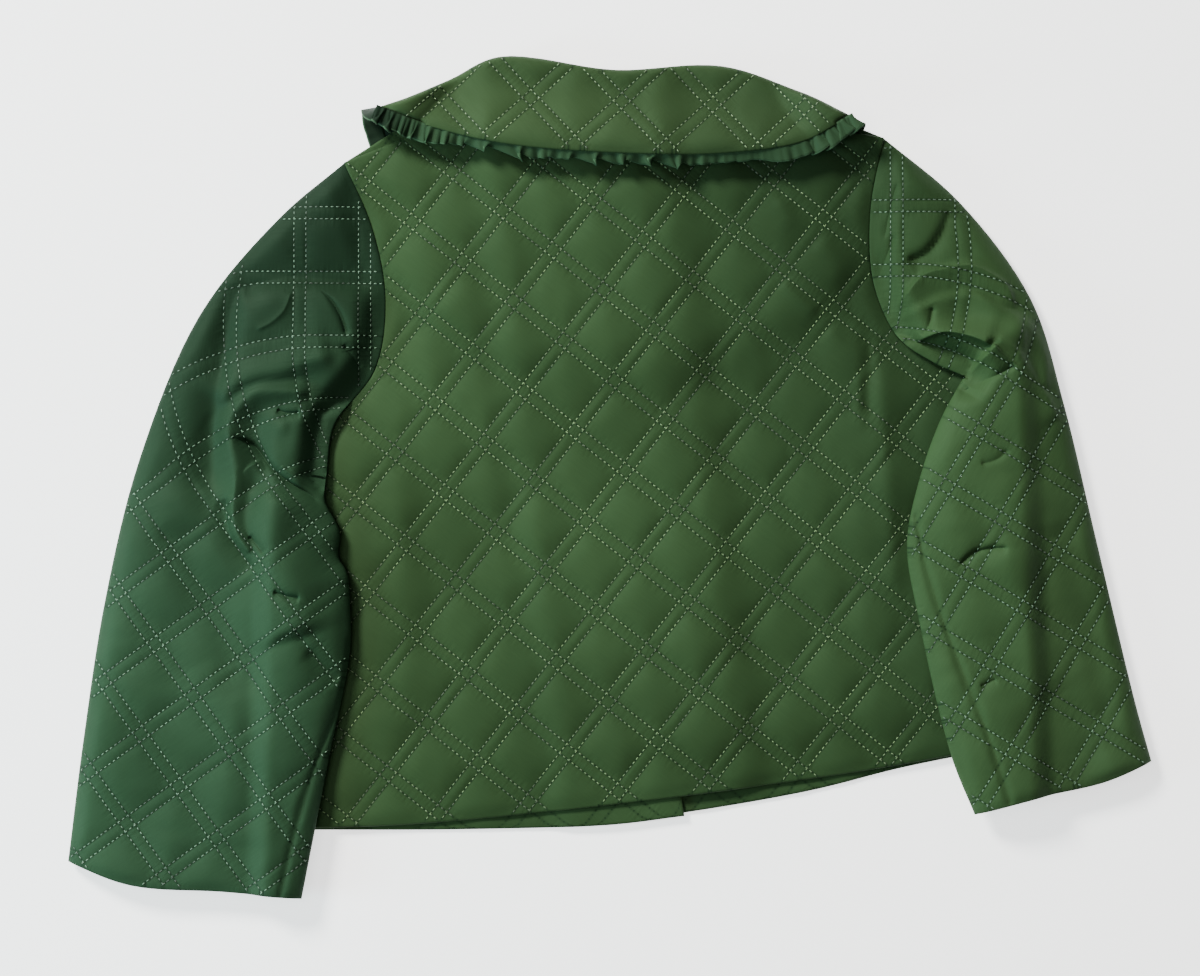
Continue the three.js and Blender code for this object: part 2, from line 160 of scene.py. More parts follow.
@dataclass
class Near:
    """The nearest place on a line for each of many points."""

    distance: Array
    place: Array
    left: Array
    along: Array


def near(line: Array, x: Array, y: Array) -> Near:
    """Finds the nearest place on a line.

    Args:
        line: the line's points.
        x, y: the points to measure from.

    Returns:
        The distance, the nearest place, whether the point is left of the line, and how far
        along the line that place is, from 0 to 1.
    """
    best = np.full(x.shape, np.inf)
    place = np.zeros(x.shape + (2,))
    left = np.zeros(x.shape, bool)
    along = np.zeros(x.shape)
    lengths = np.linalg.norm(np.diff(line, axis=0), axis=1)
    starts = np.concatenate([[0], np.cumsum(lengths)])
    for (ax, ay), (bx, by), start, length in zip(line[:-1], line[1:], starts, lengths):
        if length < TINY:
            continue
        dx, dy = (bx - ax) / length, (by - ay) / length
        f = np.clip((x - ax) * dx + (y - ay) * dy, 0, length)
        px, py = ax + f * dx, ay + f * dy
        distance = np.hypot(x - px, y - py)
        closer = distance < best
        best = np.where(closer, distance, best)
        place[closer, 0] = px[closer]
        place[closer, 1] = py[closer]
        left = np.where(closer, dx * (y - ay) - dy * (x - ax) > 0, left)
        along = np.where(closer, (start + f) / starts[-1], along)
    return Near(best, place, left, along)


def inside(outline: Array, x: Array, y: Array) -> Array:
    """Finds the points inside a closed outline.

    Args:
        outline: the outline's points, in order.
        x, y: the points to test.

    Returns:
        Whether each point is inside.
    """
    within = np.zeros(x.shape, bool)
    for (ax, ay), (bx, by) in zip(outline, np.roll(outline, -1, axis=0)):
        if ay == by:
            continue
        crosses = ((ay > y) != (by > y)) & (x < (bx - ax) * (y - ay) / (by - ay) + ax)
        within ^= crosses
    return within


def closed(outline: Array) -> Array:
    """The outline with its first point again at its end."""
    return np.vstack([outline, outline[:1]])


def moved_sideways(line: Array, distance: float) -> Array:
    """Moves a line to the right of its own direction.

    Args:
        line: the line's points.
        distance: how far they move.

    Returns:
        The moved points.
    """
    along = np.gradient(line, axis=0)
    along /= np.linalg.norm(along, axis=1)[:, None]
    return line + distance * np.stack([along[:, 1], -along[:, 0]], axis=1)


def from_neck(points: Array) -> Array:
    """Turns points of the neck's own frame into the garment's.

    Args:
        points: u and v in each row.

    Returns:
        x and y in each row.
    """
    c, s = math.cos(NECK_TURN), math.sin(NECK_TURN)
    p = np.asarray(points, float)
    x = NECK[0] + p[..., 0] * c - p[..., 1] * s
    y = NECK[1] + p[..., 0] * s + p[..., 1] * c
    return np.stack([x, y], axis=-1)


def to_neck(x: Array, y: Array) -> tuple[Array, Array]:
    """Turns points of the garment's plane into the neck's own frame."""
    c, s = math.cos(NECK_TURN), math.sin(NECK_TURN)
    return (x - NECK[0]) * c + (y - NECK[1]) * s, -(x - NECK[0]) * s + (y - NECK[1]) * c


def ellipse(half: tuple[float, float], start: float, end: float, steps: int = 24) -> Array:
    """Draws a stretch of an ellipse round the neck, in the neck's frame.

    Args:
        half: the ellipse's half width and half height.
        start, end: the angles that it runs between, in degrees.
        steps: how many pieces it is cut into.

    Returns:
        Its points.
    """
    angle = np.radians(np.linspace(start, end, steps + 1))
    return np.stack([half[0] * np.cos(angle), half[1] * np.sin(angle)], axis=1)


class Noise:
    """Smooth seeded noise over the plane, from -1 to 1."""

    def __init__(self, seed: int, size: int = 64) -> None:
        """Draws the noise's own table."""
        self.size = size
        self.table = np.random.default_rng(seed).uniform(-1, 1, (size, size))

    def cell(self, i: Array, j: Array) -> Array:
        """The table's own number for each cell, over and over."""
        return self.table[i % self.size, j % self.size]

    def at(self, x: Array, y: Array) -> Array:
        """The noise between the cells.

        Args:
            x, y: the points, whose unit is one cell.

        Returns:
            The noise at each point.
        """
        i, j = np.floor(x).astype(int), np.floor(y).astype(int)
        f, g = ease(x - i), ease(y - j)
        low = mix(self.cell(i, j), self.cell(i + 1, j), f)
        high = mix(self.cell(i, j + 1), self.cell(i + 1, j + 1), f)
        return mix(low, high, g)


@dataclass(frozen=True)
class Fold:
    """A ridge or trough laid along a line, with its own fall on each side.

    The widths left and right say how far from its line it has fallen to 1/e, and sharp how
    suddenly. It fades towards its two ends over the share fade of its length.
    """

    through: Points
    high: float
    left: float
    right: float
    sharp: float = 2.0
    fade: float = 0.18
    at_ends: float = 0.35
    crease_under: float = 2.5

    @property
    def line(self) -> Array:
        """The fold's line."""
        return smooth(self.through, 6)

    @property
    def is_crease(self) -> bool:
        """Whether it is so narrow that the cloth is cut finer along it."""
        return min(self.left, self.right) < self.crease_under

    def height(self, x: Array, y: Array) -> Array:
        """How far the fold lifts the cloth.

        Args:
            x, y: the plan positions.

        Returns:
            The lift at each, below 0 for a trough.
        """
        at = near(self.line, x, y)
        wide = np.where(at.left, self.left, self.right)
        ends = ease(np.minimum(at.along, 1 - at.along) / self.fade + self.at_ends)
        return self.high * ends * np.exp(-((at.distance / wide) ** self.sharp))


def folded(folds: Sequence[Fold], x: Array, y: Array) -> Array:
    """The folds together: the highest ridge and the deepest trough at each point."""
    heights = [fold.height(x, y) for fold in folds]
    return np.maximum.reduce([0 * x, *heights]) + np.minimum.reduce([0 * x, *heights])


@dataclass(frozen=True)
class Quilting:
    """Double-stitched diamonds: two families of paired lines, square to each other.

    Each effect reads the noise at a shift of its own, so that no two rise and fall together.
    """

    pitch: float = 48.0
    pair: float = 9.0
    puff: float = 1.9
    channel: float = 0.34
    fullness: float = 2.7
    unevenness: float = 0.16
    pucker: float = 0.1
    crease: float = 0.3
    roof: float = 0.5
    roof_way: int = 1
    roof_half: float = 17.0
    roof_round: float = 2.5
    roof_aside: float = 7.0
    roof_least: float = 0.55
    roof_spread: float = 0.6
    pucker_fade: float = 4.2
    pucker_from: float = 1.4
    seed: int = 5
    stops: tuple[float, ...] = (0, 1.4, 2.9, 4.5, 5.5, 6.9, 8.8, 11.4, 14.6, 18.6, 24)

    def grid(self, start: int, end: int) -> Array:
        """Spaces the mesh's lines across one family, closest at the stitching.

        Args:
            start, end: the first and last pitch.

        Returns:
            Where the lines run.
        """
        half = np.array(self.stops)
        one = np.concatenate([half, (self.pitch - half[:-1])[::-1]])[:-1]
        lines = [k * self.pitch + one for k in range(start, end)]
        return np.concatenate([*lines, [end * self.pitch]])

    def off_line(self, across: Array) -> Array:
        """The distance from the middle of the nearest pair of lines."""
        return np.abs(np.mod(across + self.pitch / 2, self.pitch) - self.pitch / 2)

    def rise(self, across: Array) -> Array:
        """How full the padding is across one family.

        Args:
            across: the distance across the family.

        Returns:
            0 on the stitching, the channel's share between the pair and 1 between the pairs.
        """
        m, half = self.off_line(across), self.pair / 2
        between = np.clip((m - half) / (self.pitch / 2 - half), 0, 1)
        rib = self.channel * (1 - np.clip(m / half, 0, 1) ** 2)
        return np.where(m < half, rib, 1 - (1 - between) ** self.fullness)

    def ridge(self, a: Array, b: Array, noise: Noise) -> Array:
        """The soft crease that runs through each diamond like a roof's ridge.

        Args:
            a, b: the distance across each family of stitch lines.
            noise: gives each diamond its own strength and place.

        Returns:
            The crease's share, highest on its line and falling to both sides.
        """
        i, j = np.floor(a / self.pitch).astype(int), np.floor(b / self.pitch).astype(int)
        off_a, off_b = a - (i + 0.5) * self.pitch, b - (j + 0.5) * self.pitch
        strength = self.roof_least + self.roof_spread * noise.cell(i + 17, j + 5)
        aside = self.roof_aside * noise.cell(i + 3, j + 29)
        off = (off_a + self.roof_way * off_b) / math.sqrt(2) - aside
        return strength * (1 - np.sqrt(off * off + self.roof_round) / self.roof_half)

    def height(self, a: Array, b: Array) -> Array:
        """The quilting's relief over the wall, with uneven diamonds and puckered seams.

        Args:
            a, b: the distance across each family of stitch lines.

        Returns:
            The relief.
        """
        noise = Noise(self.seed)
        i, j = np.floor(a / self.pitch).astype(int), np.floor(b / self.pitch).astype(int)
        own = 1 + self.unevenness * noise.cell(i, j)
        soft = 1 + self.unevenness * noise.at(a / 31 + 7, b / 27 + 3)
        rise = self.rise(a) * self.rise(b)
        relief = self.puff * own * soft * rise
        across, down = (a + b) / math.sqrt(2), (a - b) / math.sqrt(2)
        crease = noise.at(across / 9 + 21, down / 34 + 2) + 0.5 * noise.at(across / 20, down / 50 + 13)
        relief = relief + self.crease * rise * crease + self.roof * rise * self.ridge(a, b, noise)
        for across, along in ((a, b), (b, a)):
            off = np.abs(self.off_line(across) - self.pair / 2)
            ripple = noise.at(along / 4.6 + 11, across / 17) + 0.6 * noise.at(along / 8.3, across / 23 + 5)
            strength = self.pucker * np.exp(-off / self.pucker_fade) * ease(off / self.pucker_from)
            relief = relief + strength * ripple
        return relief


QUILTING = Quilting()
FINE_QUILTING = Quilting(
    puff=1.6, roof=0.8, roof_way=-1, seed=12,
    stops=(0, 1.5, 3.0, 4.5, 5.3, 6.4, 7.8, 9.4, 11.4, 13.6, 16.0, 18.6, 21.2, 24),
)
PLAIN_QUILTING = Quilting(puff=0.6, pucker=0.15, roof=0.0, stops=(0, 4.5, 7.5, 12.5, 18, 24))


@dataclass(frozen=True)
class Layout:
    """Where a panel's stitch lines lie: a flat frame, turned and moved in the garment's plane."""

    centre: tuple[float, float]
    turn: float = 0.0

    def place(self, a: Array, b: Array) -> tuple[Array, Array]:
        """The plan position of each place between the stitch lines.

        Args:
            a, b: the distance across each family of stitch lines.

        Returns:
            x and y in the garment's plane.
        """
        s, t = (a + b) / math.sqrt(2), (a - b) / math.sqrt(2)
        c, n = math.cos(self.turn), math.sin(self.turn)
        return self.centre[0] + s * c - t * n, self.centre[1] + s * n + t * c


@dataclass(frozen=True)
class Arm:
    """The line that a sleeve is drawn about: straight, bent on an arc, and straight again."""

    start: tuple[float, float]
    heading: float
    straight: float
    radius: float
    turn: float
    quilt_from: tuple[float, float]

    def place(self, a: Array, b: Array) -> tuple[Array, Array]:
        """The plan position of each place between the stitch lines.

        Args:
            a, b: the distance across each family of stitch lines.

        Returns:
            x and y in the garment's plane.
        """
        s = (a + b) / math.sqrt(2) + self.quilt_from[0]
        t = (a - b) / math.sqrt(2) + self.quilt_from[1]
        bend = math.radians(abs(self.turn)) * self.radius
        first = np.minimum(s, self.straight)
        arc = np.clip(s - self.straight, 0, bend)
        last = np.maximum(s - self.straight - bend, 0)
        side = math.copysign(1, self.turn)
        h0 = math.radians(self.heading)
        h1 = h0 + side * arc / self.radius
        cx = self.start[0] + first * math.cos(h0) - side * self.radius * math.sin(h0)
        cy = self.start[1] + first * math.sin(h0) + side * self.radius * math.cos(h0)
        off = side * self.radius - t
        return cx + off * np.sin(h1) + last * np.cos(h1), cy - off * np.cos(h1) + last * np.sin(h1)


def collar_lift(x: Array, y: Array) -> Array:
    """How far the front collar halves lift what lies on them.

    Args:
        x, y: the plan positions.

    Returns:
        The lift at each.
    """
    u, v = to_neck(x, y)
    reach = np.hypot(u / FRONT_COLLAR_OUTER[0], v / FRONT_COLLAR_OUTER[1])
    return COLLAR_LIFT * (1 - ease((reach - LIFT_TO) / LIFT_FADE))


def lap_up(x: Array) -> Array:
    """How far the left front is lifted where it laps over the right one."""
    return (FRONT_WALL + SEAM_GAP) * ease((x - LAP_FROM + LAP_CLEAR + LAP_RAMP) / LAP_RAMP)


def back_under(x: Array, y: Array) -> Array:
    """The inside of the back, which lies on the fronts."""
    lap_down = 1 - ease((x - LAP_TO - LAP_CLEAR) / LAP_RAMP)
    return collar_lift(x, y) + FRONT_WALL + SEAM_GAP + lap_up(x) * lap_down


def linked(name: str, data: bpy.types.ID) -> bpy.types.Object:
    """Makes an object and links it to the scene.

    Args:
        name: the object's name.
        data: its mesh, light or camera.

    Returns:
        The object.
    """
    piece = bpy.data.objects.new(name, data)
    bpy.context.scene.collection.objects.link(piece)
    return piece


class Cloth:
    """A piece of cloth cut from a grid whose lines follow the stitching.

    Each vertex keeps the numbers that FIELDS names: a and b between the stitch lines, and at
    the edge its place on the outline (cx, cy), the way out from there (nx, ny), how far inside
    it lies (away) and which ring of the turned edge it is on. The lower layer's under is 1.
    """

    FIELDS = ("a", "b", "cx", "cy", "nx", "ny", "away", "turned", "under")
    SNAPPED = 0.05
    WELDED = 0.02
    CORNER = 0.5
    SHORTEST = 1e-6

    def __init__(self, layout: Layout | Arm, quilting: Quilting, reach: tuple[int, int, int, int]) -> None:
        """Lays the grid.

        Args:
            layout: where the stitch lines lie in the garment's plane.
            quilting: the stitching, which spaces the grid's lines.
            reach: the first and last pitch across each family of lines.
        """
        self.layout = layout
        self.bm = bmesh.new()
        self.layers = {name: self.bm.verts.layers.float.new(name) for name in self.FIELDS}
        lines_a, lines_b = quilting.grid(reach[0], reach[1]), quilting.grid(reach[2], reach[3])
        bmesh.ops.create_grid(
            self.bm, x_segments=len(lines_a) - 1, y_segments=len(lines_b) - 1, size=1.0
        )
        la, lb = self.layers["a"], self.layers["b"]
        for v in self.bm.verts:
            v[la] = lines_a[round((v.co.x + 1) / 2 * (len(lines_a) - 1))]
            v[lb] = lines_b[round((v.co.y + 1) / 2 * (len(lines_b) - 1))]
        self.facing_up()

    def facing_up(self) -> None:
        """Lays the grid in the plane and turns it face up if the layout mirrors it."""
        self.put(self.plan())
        self.bm.normal_update()
        if sum(f.normal.z for f in self.bm.faces) < 0:
            bmesh.ops.reverse_faces(self.bm, faces=self.bm.faces[:])

    def read(self, name: str) -> Array:
        """One of the grid's own numbers at every vertex."""
        layer = self.layers[name]
        return np.array([v[layer] for v in self.bm.verts])

    def put(self, xyz: Array) -> None:
        """Moves every vertex to its place."""
        for v, place in zip(self.bm.verts, xyz.tolist()):
            v.co = place

    def plan(self) -> Array:
        """Lays the vertices in the plane, the edge's own ones measured from the outline.

        Returns:
            Each vertex's place, at height 0.
        """
        x, y = self.layout.place(self.read("a"), self.read("b"))
        edge = self.read("turned") >= 0.5
        away = self.read("away")
        x = np.where(edge, self.read("cx") - self.read("nx") * away, x)
        y = np.where(edge, self.read("cy") - self.read("ny") * away, y)
        return np.stack([x, y, 0 * x], axis=1)

    def cut(self, outline: Array, rim: float, margin: float = 0.9) -> None:
        """Cuts the grid a rim's width inside an outline and snaps its edge onto that line.

        Args:
            outline: the closed outline, in order.
            rim: how far inside the outline the flat grid ends.
            margin: how close to the line an inner vertex may stay.
        """
        xyz = self.plan()
        x, y = xyz[:, 0], xyz[:, 1]
        at = near(closed(outline), x, y)
        signed = np.where(inside(outline, x, y), -at.distance, at.distance) + rim
        deep = signed < -margin
        self.bm.verts.ensure_lookup_table()
        self.bm.verts.index_update()
        gone = [f for f in self.bm.faces if not any(deep[v.index] for v in f.verts)]
        bmesh.ops.delete(self.bm, geom=gone, context="FACES")
        self.bm.verts.index_update()
        edge = [v for v in self.bm.verts if v.is_boundary]
        px = np.array([v.co.x for v in edge])
        py = np.array([v.co.y for v in edge])
        self.snap(edge, outline, px, py, rim)
        self.put(self.plan())
        edge = [v for v in self.bm.verts if v.is_boundary]
        bmesh.ops.remove_doubles(self.bm, verts=edge, dist=self.SNAPPED)

    def snap(self, edge: list, outline: Array, px: Array, py: Array, rim: float) -> None:
        """Gives the edge's vertices their place on the outline and their way out from it.

        Args:
            edge: the vertices.
            outline: the closed outline.
            px, py: where the vertices lie before.
            rim: how far inside the outline they end.
        """
        at = near(closed(outline), px, py)
        out = np.stack([px, py], axis=1) - at.place
        out /= np.maximum(np.linalg.norm(out, axis=1), TINY)[:, None]
        out[inside(outline, px, py)] *= -1
        place = at.place.copy()
        before, after = outline - np.roll(outline, 1, axis=0), np.roll(outline, -1, axis=0) - outline
        area = 0.5 * np.sum(outline[:, 0] * after[:, 1] - outline[:, 1] * after[:, 0])
        turn = math.copysign(1, area)
        for corner, a, b in zip(outline, before, after):
            la, lb = np.linalg.norm(a), np.linalg.norm(b)
            if min(la, lb) < self.SHORTEST or turn * (a[0] * b[1] - a[1] * b[0]) / (la * lb) < self.CORNER:
                continue
            na, nb = turn * np.array([a[1], -a[0]]) / la, turn * np.array([b[1], -b[0]]) / lb
            mitre = (na + nb) / (1 + na @ nb)
            target = corner - mitre * rim
            nearest = int(np.argmin(np.hypot(px - target[0], py - target[1])))
            place[nearest], out[nearest] = corner, mitre
        for v, corner, way in zip(edge, place, out):
            for name, value in zip(("cx", "cy", "nx", "ny", "away", "turned"), (*corner, *way, rim, 1.0)):
                v[self.layers[name]] = value

    def roll_edge(self, rim: float, steps: int) -> None:
        """Adds the rings that carry the cloth from the grid's end out to the outline.

        Args:
            rim: how wide they are together.
            steps: how many there are.
        """
        away, turned = self.layers["away"], self.layers["turned"]
        edges = [e for e in self.bm.edges if e.is_boundary]
        for k in range(1, steps + 1):
            made = bmesh.ops.extrude_edge_only(self.bm, edges=edges)["geom"]
            for v in (g for g in made if isinstance(g, bmesh.types.BMVert)):
                v[away] = rim * (1 - math.sin(math.pi / 2 * k / steps))
                v[turned] = 1.0 + k / steps
            edges = [g for g in made if isinstance(g, bmesh.types.BMEdge)]

    def refine(self, lines: Sequence[Array], reach: float) -> None:
        """Cuts the cloth finer along some lines.

        Args:
            lines: the lines.
            reach: how far from them the cloth is cut.
        """
        x, y, _ = self.plan().T
        close = np.minimum.reduce([near(line, x, y).distance for line in lines]) < reach
        turned = self.layers["turned"]
        self.bm.verts.index_update()
        edges = [e for e in self.bm.edges if all(close[v.index] and v[turned] < 0.5 for v in e.verts)]
        bmesh.ops.subdivide_edges(self.bm, edges=edges, cuts=1, use_grid_fill=True)

    def add_underside(self) -> None:
        """Doubles the cloth into an upper and a lower layer."""
        upper = self.bm.verts[:] + self.bm.edges[:] + self.bm.faces[:]
        made = bmesh.ops.duplicate(self.bm, geom=upper)["geom"]
        bmesh.ops.reverse_faces(self.bm, faces=[g for g in made if isinstance(g, bmesh.types.BMFace)])
        under = self.layers["under"]
        for v in (g for g in made if isinstance(g, bmesh.types.BMVert)):
            v[under] = 1.0

    def drape(self, top: Height, bottom: Height, open_ends: Sequence[Array] = (), hem: float = 1.3) -> None:
        """Gives both layers their heights and joins them where they meet.

        Args:
            top: the upper layer's height, from the plan and the stitch lines' coordinates.
            bottom: the lower layer's height.
            open_ends: lines where the two layers stay apart, as at a cuff.
            hem: the radius of the turned edge at an open end.
        """
        xyz = self.plan()
        x, y = xyz[:, 0], xyz[:, 1]
        a, b, under = self.read("a"), self.read("b"), self.read("under") > 0.5
        high, low = top(x, y, a, b), bottom(x, y, a, b)
        roll = np.clip(self.read("turned") - 1, 0, 1) * math.pi / 2
        if len(open_ends):
            drop = np.zeros(x.shape)
            for line in open_ends:
                at_end = near(line, self.read("cx"), self.read("cy")).distance < 0.5
                drop = np.where(at_end, hem * (1 - np.cos(roll)), drop)
            drop = np.minimum(drop, (high - low) / 2)
            z = np.where(under, low + drop, high - drop)
        else:
            middle = (high + low) / 2
            z = np.where(under, mix(middle, low, np.cos(roll)), mix(middle, high, np.cos(roll)))
        xyz[:, 2] = z
        self.put(xyz)
        rim = [v for v in self.bm.verts if v.is_boundary]
        bmesh.ops.remove_doubles(self.bm, verts=rim, dist=self.WELDED)

    def turn_in(self, outline: Array, depth: float, lift: float) -> None:
        """Turns the cloth in at each edge that is still open, as a hem's inside or a seam's allowance.

        Args:
            outline: the piece's outline, inside which the turned cloth stays.
            depth: how far in the turned cloth reaches.
            lift: how far it lies from the outer layer.
        """
        under = self.layers["under"]
        nx, ny = self.layers["nx"], self.layers["ny"]
        edges = [e for e in self.bm.edges if e.is_boundary]
        for step, rise in ((0.06 * depth, lift), (0.94 * depth, 0.3 * lift)):
            made = bmesh.ops.extrude_edge_only(self.bm, edges=edges)["geom"]
            verts = [g for g in made if isinstance(g, bmesh.types.BMVert)]
            way = np.array([(v[nx], v[ny]) for v in verts])
            start = np.array([(v.co.x, v.co.y) for v in verts])
            reach = np.full(len(verts), step)
            for _ in range(8):
                x, y = (start - way * reach[:, None]).T
                poor = ~inside(outline, x, y) | (near(closed(outline), x, y).distance < 0.2 * reach)
                reach = np.where(poor, 0.7 * reach, reach)
            for v, (dx, dy), r in zip(verts, way, reach):
                v.co.x -= dx * r
                v.co.y -= dy * r
                v.co.z += rise if v[under] > 0.5 else -rise
            edges = [g for g in made if isinstance(g, bmesh.types.BMEdge)]

    def finish(self, name: str) -> bpy.types.Object:
        """Makes the object, in metres, with the stitch lines' coordinates as its UV map.

        Args:
            name: the object's name.

        Returns:
            The object, smooth and at the origin.
        """
        la, lb = self.layers["a"], self.layers["b"]
        quilt = self.bm.loops.layers.uv.new("quilt")
        for face in self.bm.faces:
            face.smooth = True
            for loop in face.loops:
                loop[quilt].uv = (loop.vert[la] / MM_PER_METRE, loop.vert[lb] / MM_PER_METRE)
        bmesh.ops.translate(self.bm, verts=self.bm.verts[:], vec=tuple(ORIGIN))
        bmesh.ops.scale(self.bm, verts=self.bm.verts[:], vec=(1 / MM_PER_METRE,) * 3)
        mesh = bpy.data.meshes.new(name)
        self.bm.to_mesh(mesh)
        self.bm.free()
        for field in self.FIELDS:
            mesh.attributes.remove(mesh.attributes[field])
        return linked(name, mesh)


@dataclass
class Stitches:
    """Rows of thread laid into the quilting's valleys."""

    length: float = STITCH_LENGTH
    pitch: float = STITCH_PITCH
    width: float = STITCH_WIDTH
    height: float = STITCH_HEIGHT
    wander: float = 0.07
    unevenness: float = 0.1
    seed: int = 21

    def one(self) -> tuple[Array, Array]:
        """Makes a single stitch along x.

        Returns:
            Its points and its faces' corners, all triangles.
        """
        bm = bmesh.new()
        bmesh.ops.create_uvsphere(bm, u_segments=4, v_segments=3, radius=1.0)
        bmesh.ops.triangulate(bm, faces=bm.faces[:])
        bm.verts.index_update()
        points = np.array([
            (v.co.z * self.length / 2, v.co.x * self.width, v.co.y * self.height) for v in bm.verts
        ])
        faces = np.array([[v.index for v in f.verts] for f in bm.faces])
        bm.free()
        return points, faces

    def sew(self, name: str, middle: Array, along: Array, up: Array) -> bpy.types.Object:
        """Lays one stitch at each place.

        Args:
            name: the joined object's name.
            middle: the stitches' middles, in millimetres.
            along: the way each stitch runs.
            up: the cloth's normal there.

        Returns:
            One object with all the stitches.
        """
        points, faces = self.one()
        jitter = np.random.default_rng(self.seed).uniform(-1, 1, (len(middle), 2))
        along = along / np.linalg.norm(along, axis=1)[:, None]
        side = np.cross(up, along)
        side /= np.linalg.norm(side, axis=1)[:, None]
        along = along + side * jitter[:, :1] * self.wander
        up = np.cross(along, side)
        size = 1 + self.unevenness * jitter[:, 1:]
        laid = (
            middle[:, None, :]
            + points[None, :, 0, None] * (along * size)[:, None, :]
            + points[None, :, 1, None] * side[:, None, :]
            + points[None, :, 2, None] * up[:, None, :]
        )
        count = len(points)
        corners = (faces[None] + np.arange(len(middle))[:, None, None] * count).reshape(-1)
        mesh = bpy.data.meshes.new(name)
        mesh.vertices.add(laid.size // 3)
        mesh.vertices.foreach_set("co", ((laid.reshape(-1, 3) + ORIGIN) / MM_PER_METRE).ravel())
        mesh.loops.add(len(corners))
        mesh.loops.foreach_set("vertex_index", corners.astype(np.int32))
        mesh.polygons.add(len(corners) // 3)
        mesh.polygons.foreach_set("loop_start", np.arange(0, len(corners), 3, dtype=np.int32))
        mesh.polygons.foreach_set("use_smooth", np.ones(len(corners) // 3, bool))
        mesh.update(calc_edges=True)
        return linked(name, mesh)

    def follow(self, name: str, quilting: Quilting, layout: Layout | Arm, reach: tuple[int, int, int, int],
               top: Height, keep: Callable[[Array, Array], Array]) -> bpy.types.Object:
        """Sews every stitch line of a quilted panel.

        Args:
            name: the joined object's name.
            quilting: where the pairs of lines run.
            layout: where they lie in the plane.
            reach: the first and last pitch across each family.
            top: the cloth's height.
            keep: says which plan positions are sewn.

        Returns:
            One object with all the panel's stitches.
        """
        rows = []
        for family in (0, 1):
            first, last = reach[2 * family : 2 * family + 2]
            other = reach[2 - 2 * family : 4 - 2 * family]
            run = np.arange(other[0] * quilting.pitch, other[1] * quilting.pitch, self.pitch)
            for k in range(first, last + 1):
                for half in (-0.5, 0.5):
                    line = np.full(run.shape, k * quilting.pitch + half * quilting.pair)
                    rows.append((line, run) if family == 0 else (run, line))
        a, b = np.concatenate([r[0] for r in rows]), np.concatenate([r[1] for r in rows])
        family = np.concatenate([np.full(len(r[0]), i < len(rows) // 2) for i, r in enumerate(rows)])
        x, y = layout.place(a, b)
        kept = keep(x, y)
        a, b, family = a[kept], b[kept], family[kept]

        def at(da: float, db: float) -> Array:
            """The cloth's surface beside each stitch.

            Args:
                da, db: how far beside, across each family.

            Returns:
                The places.
            """
            px, py = layout.place(a + da, b + db)
            return np.stack([px, py, top(px, py, a + da, b + db)], axis=1)

        reach_on = self.length / 2
        ends_a = at(reach_on, 0) - at(-reach_on, 0)
        ends_b = at(0, reach_on) - at(0, -reach_on)
        along = np.where(family[:, None], ends_b, ends_a)
        up = np.cross(ends_a, ends_b)
        up *= np.sign(up[:, 2:])
        up /= np.linalg.norm(up, axis=1)[:, None]
        middle = at(0, 0) + up * self.height * 0.5
        return self.sew(name, middle, along, up)


@dataclass(frozen=True)
class Shades:
    """The colours of one cloth: its middle, a lighter tone that random mottle mixes in, its deep shade,
    its thread and the colour of the painted shade in its needle holes.

    A painted shade darkens it most at painted_shade_from and not at all at painted_shade_to, in metres
    in the model's plane, by the share painted_shade: it stands for where less light falls on the piece.
    """

    middle: tuple[float, float, float]
    light: tuple[float, float, float]
    deep: tuple[float, float, float]
    thread: tuple[float, float, float]
    hole: tuple[float, float, float] = (0.004, 0.012, 0.005)
    painted_shade_from: tuple[float, float] = (0.0, 0.3)
    painted_shade_to: tuple[float, float] = (0.0, -0.3)
    painted_shade: float = 0.0


def tone(red: int, green: int, blue: int) -> tuple[float, float, float]:
    """A screen colour as the shader's own linear one.

    Args:
        red, green, blue: the colour as a screen shows it, from 0 to 255.

    Returns:
        The three linear values.
    """
    def linear(c: int) -> float:
        """One of the three as a linear value."""
        s = c / 255
        return s / 12.92 if s <= 0.04045 else ((s + 0.055) / 1.055) ** 2.4
    return linear(red), linear(green), linear(blue)


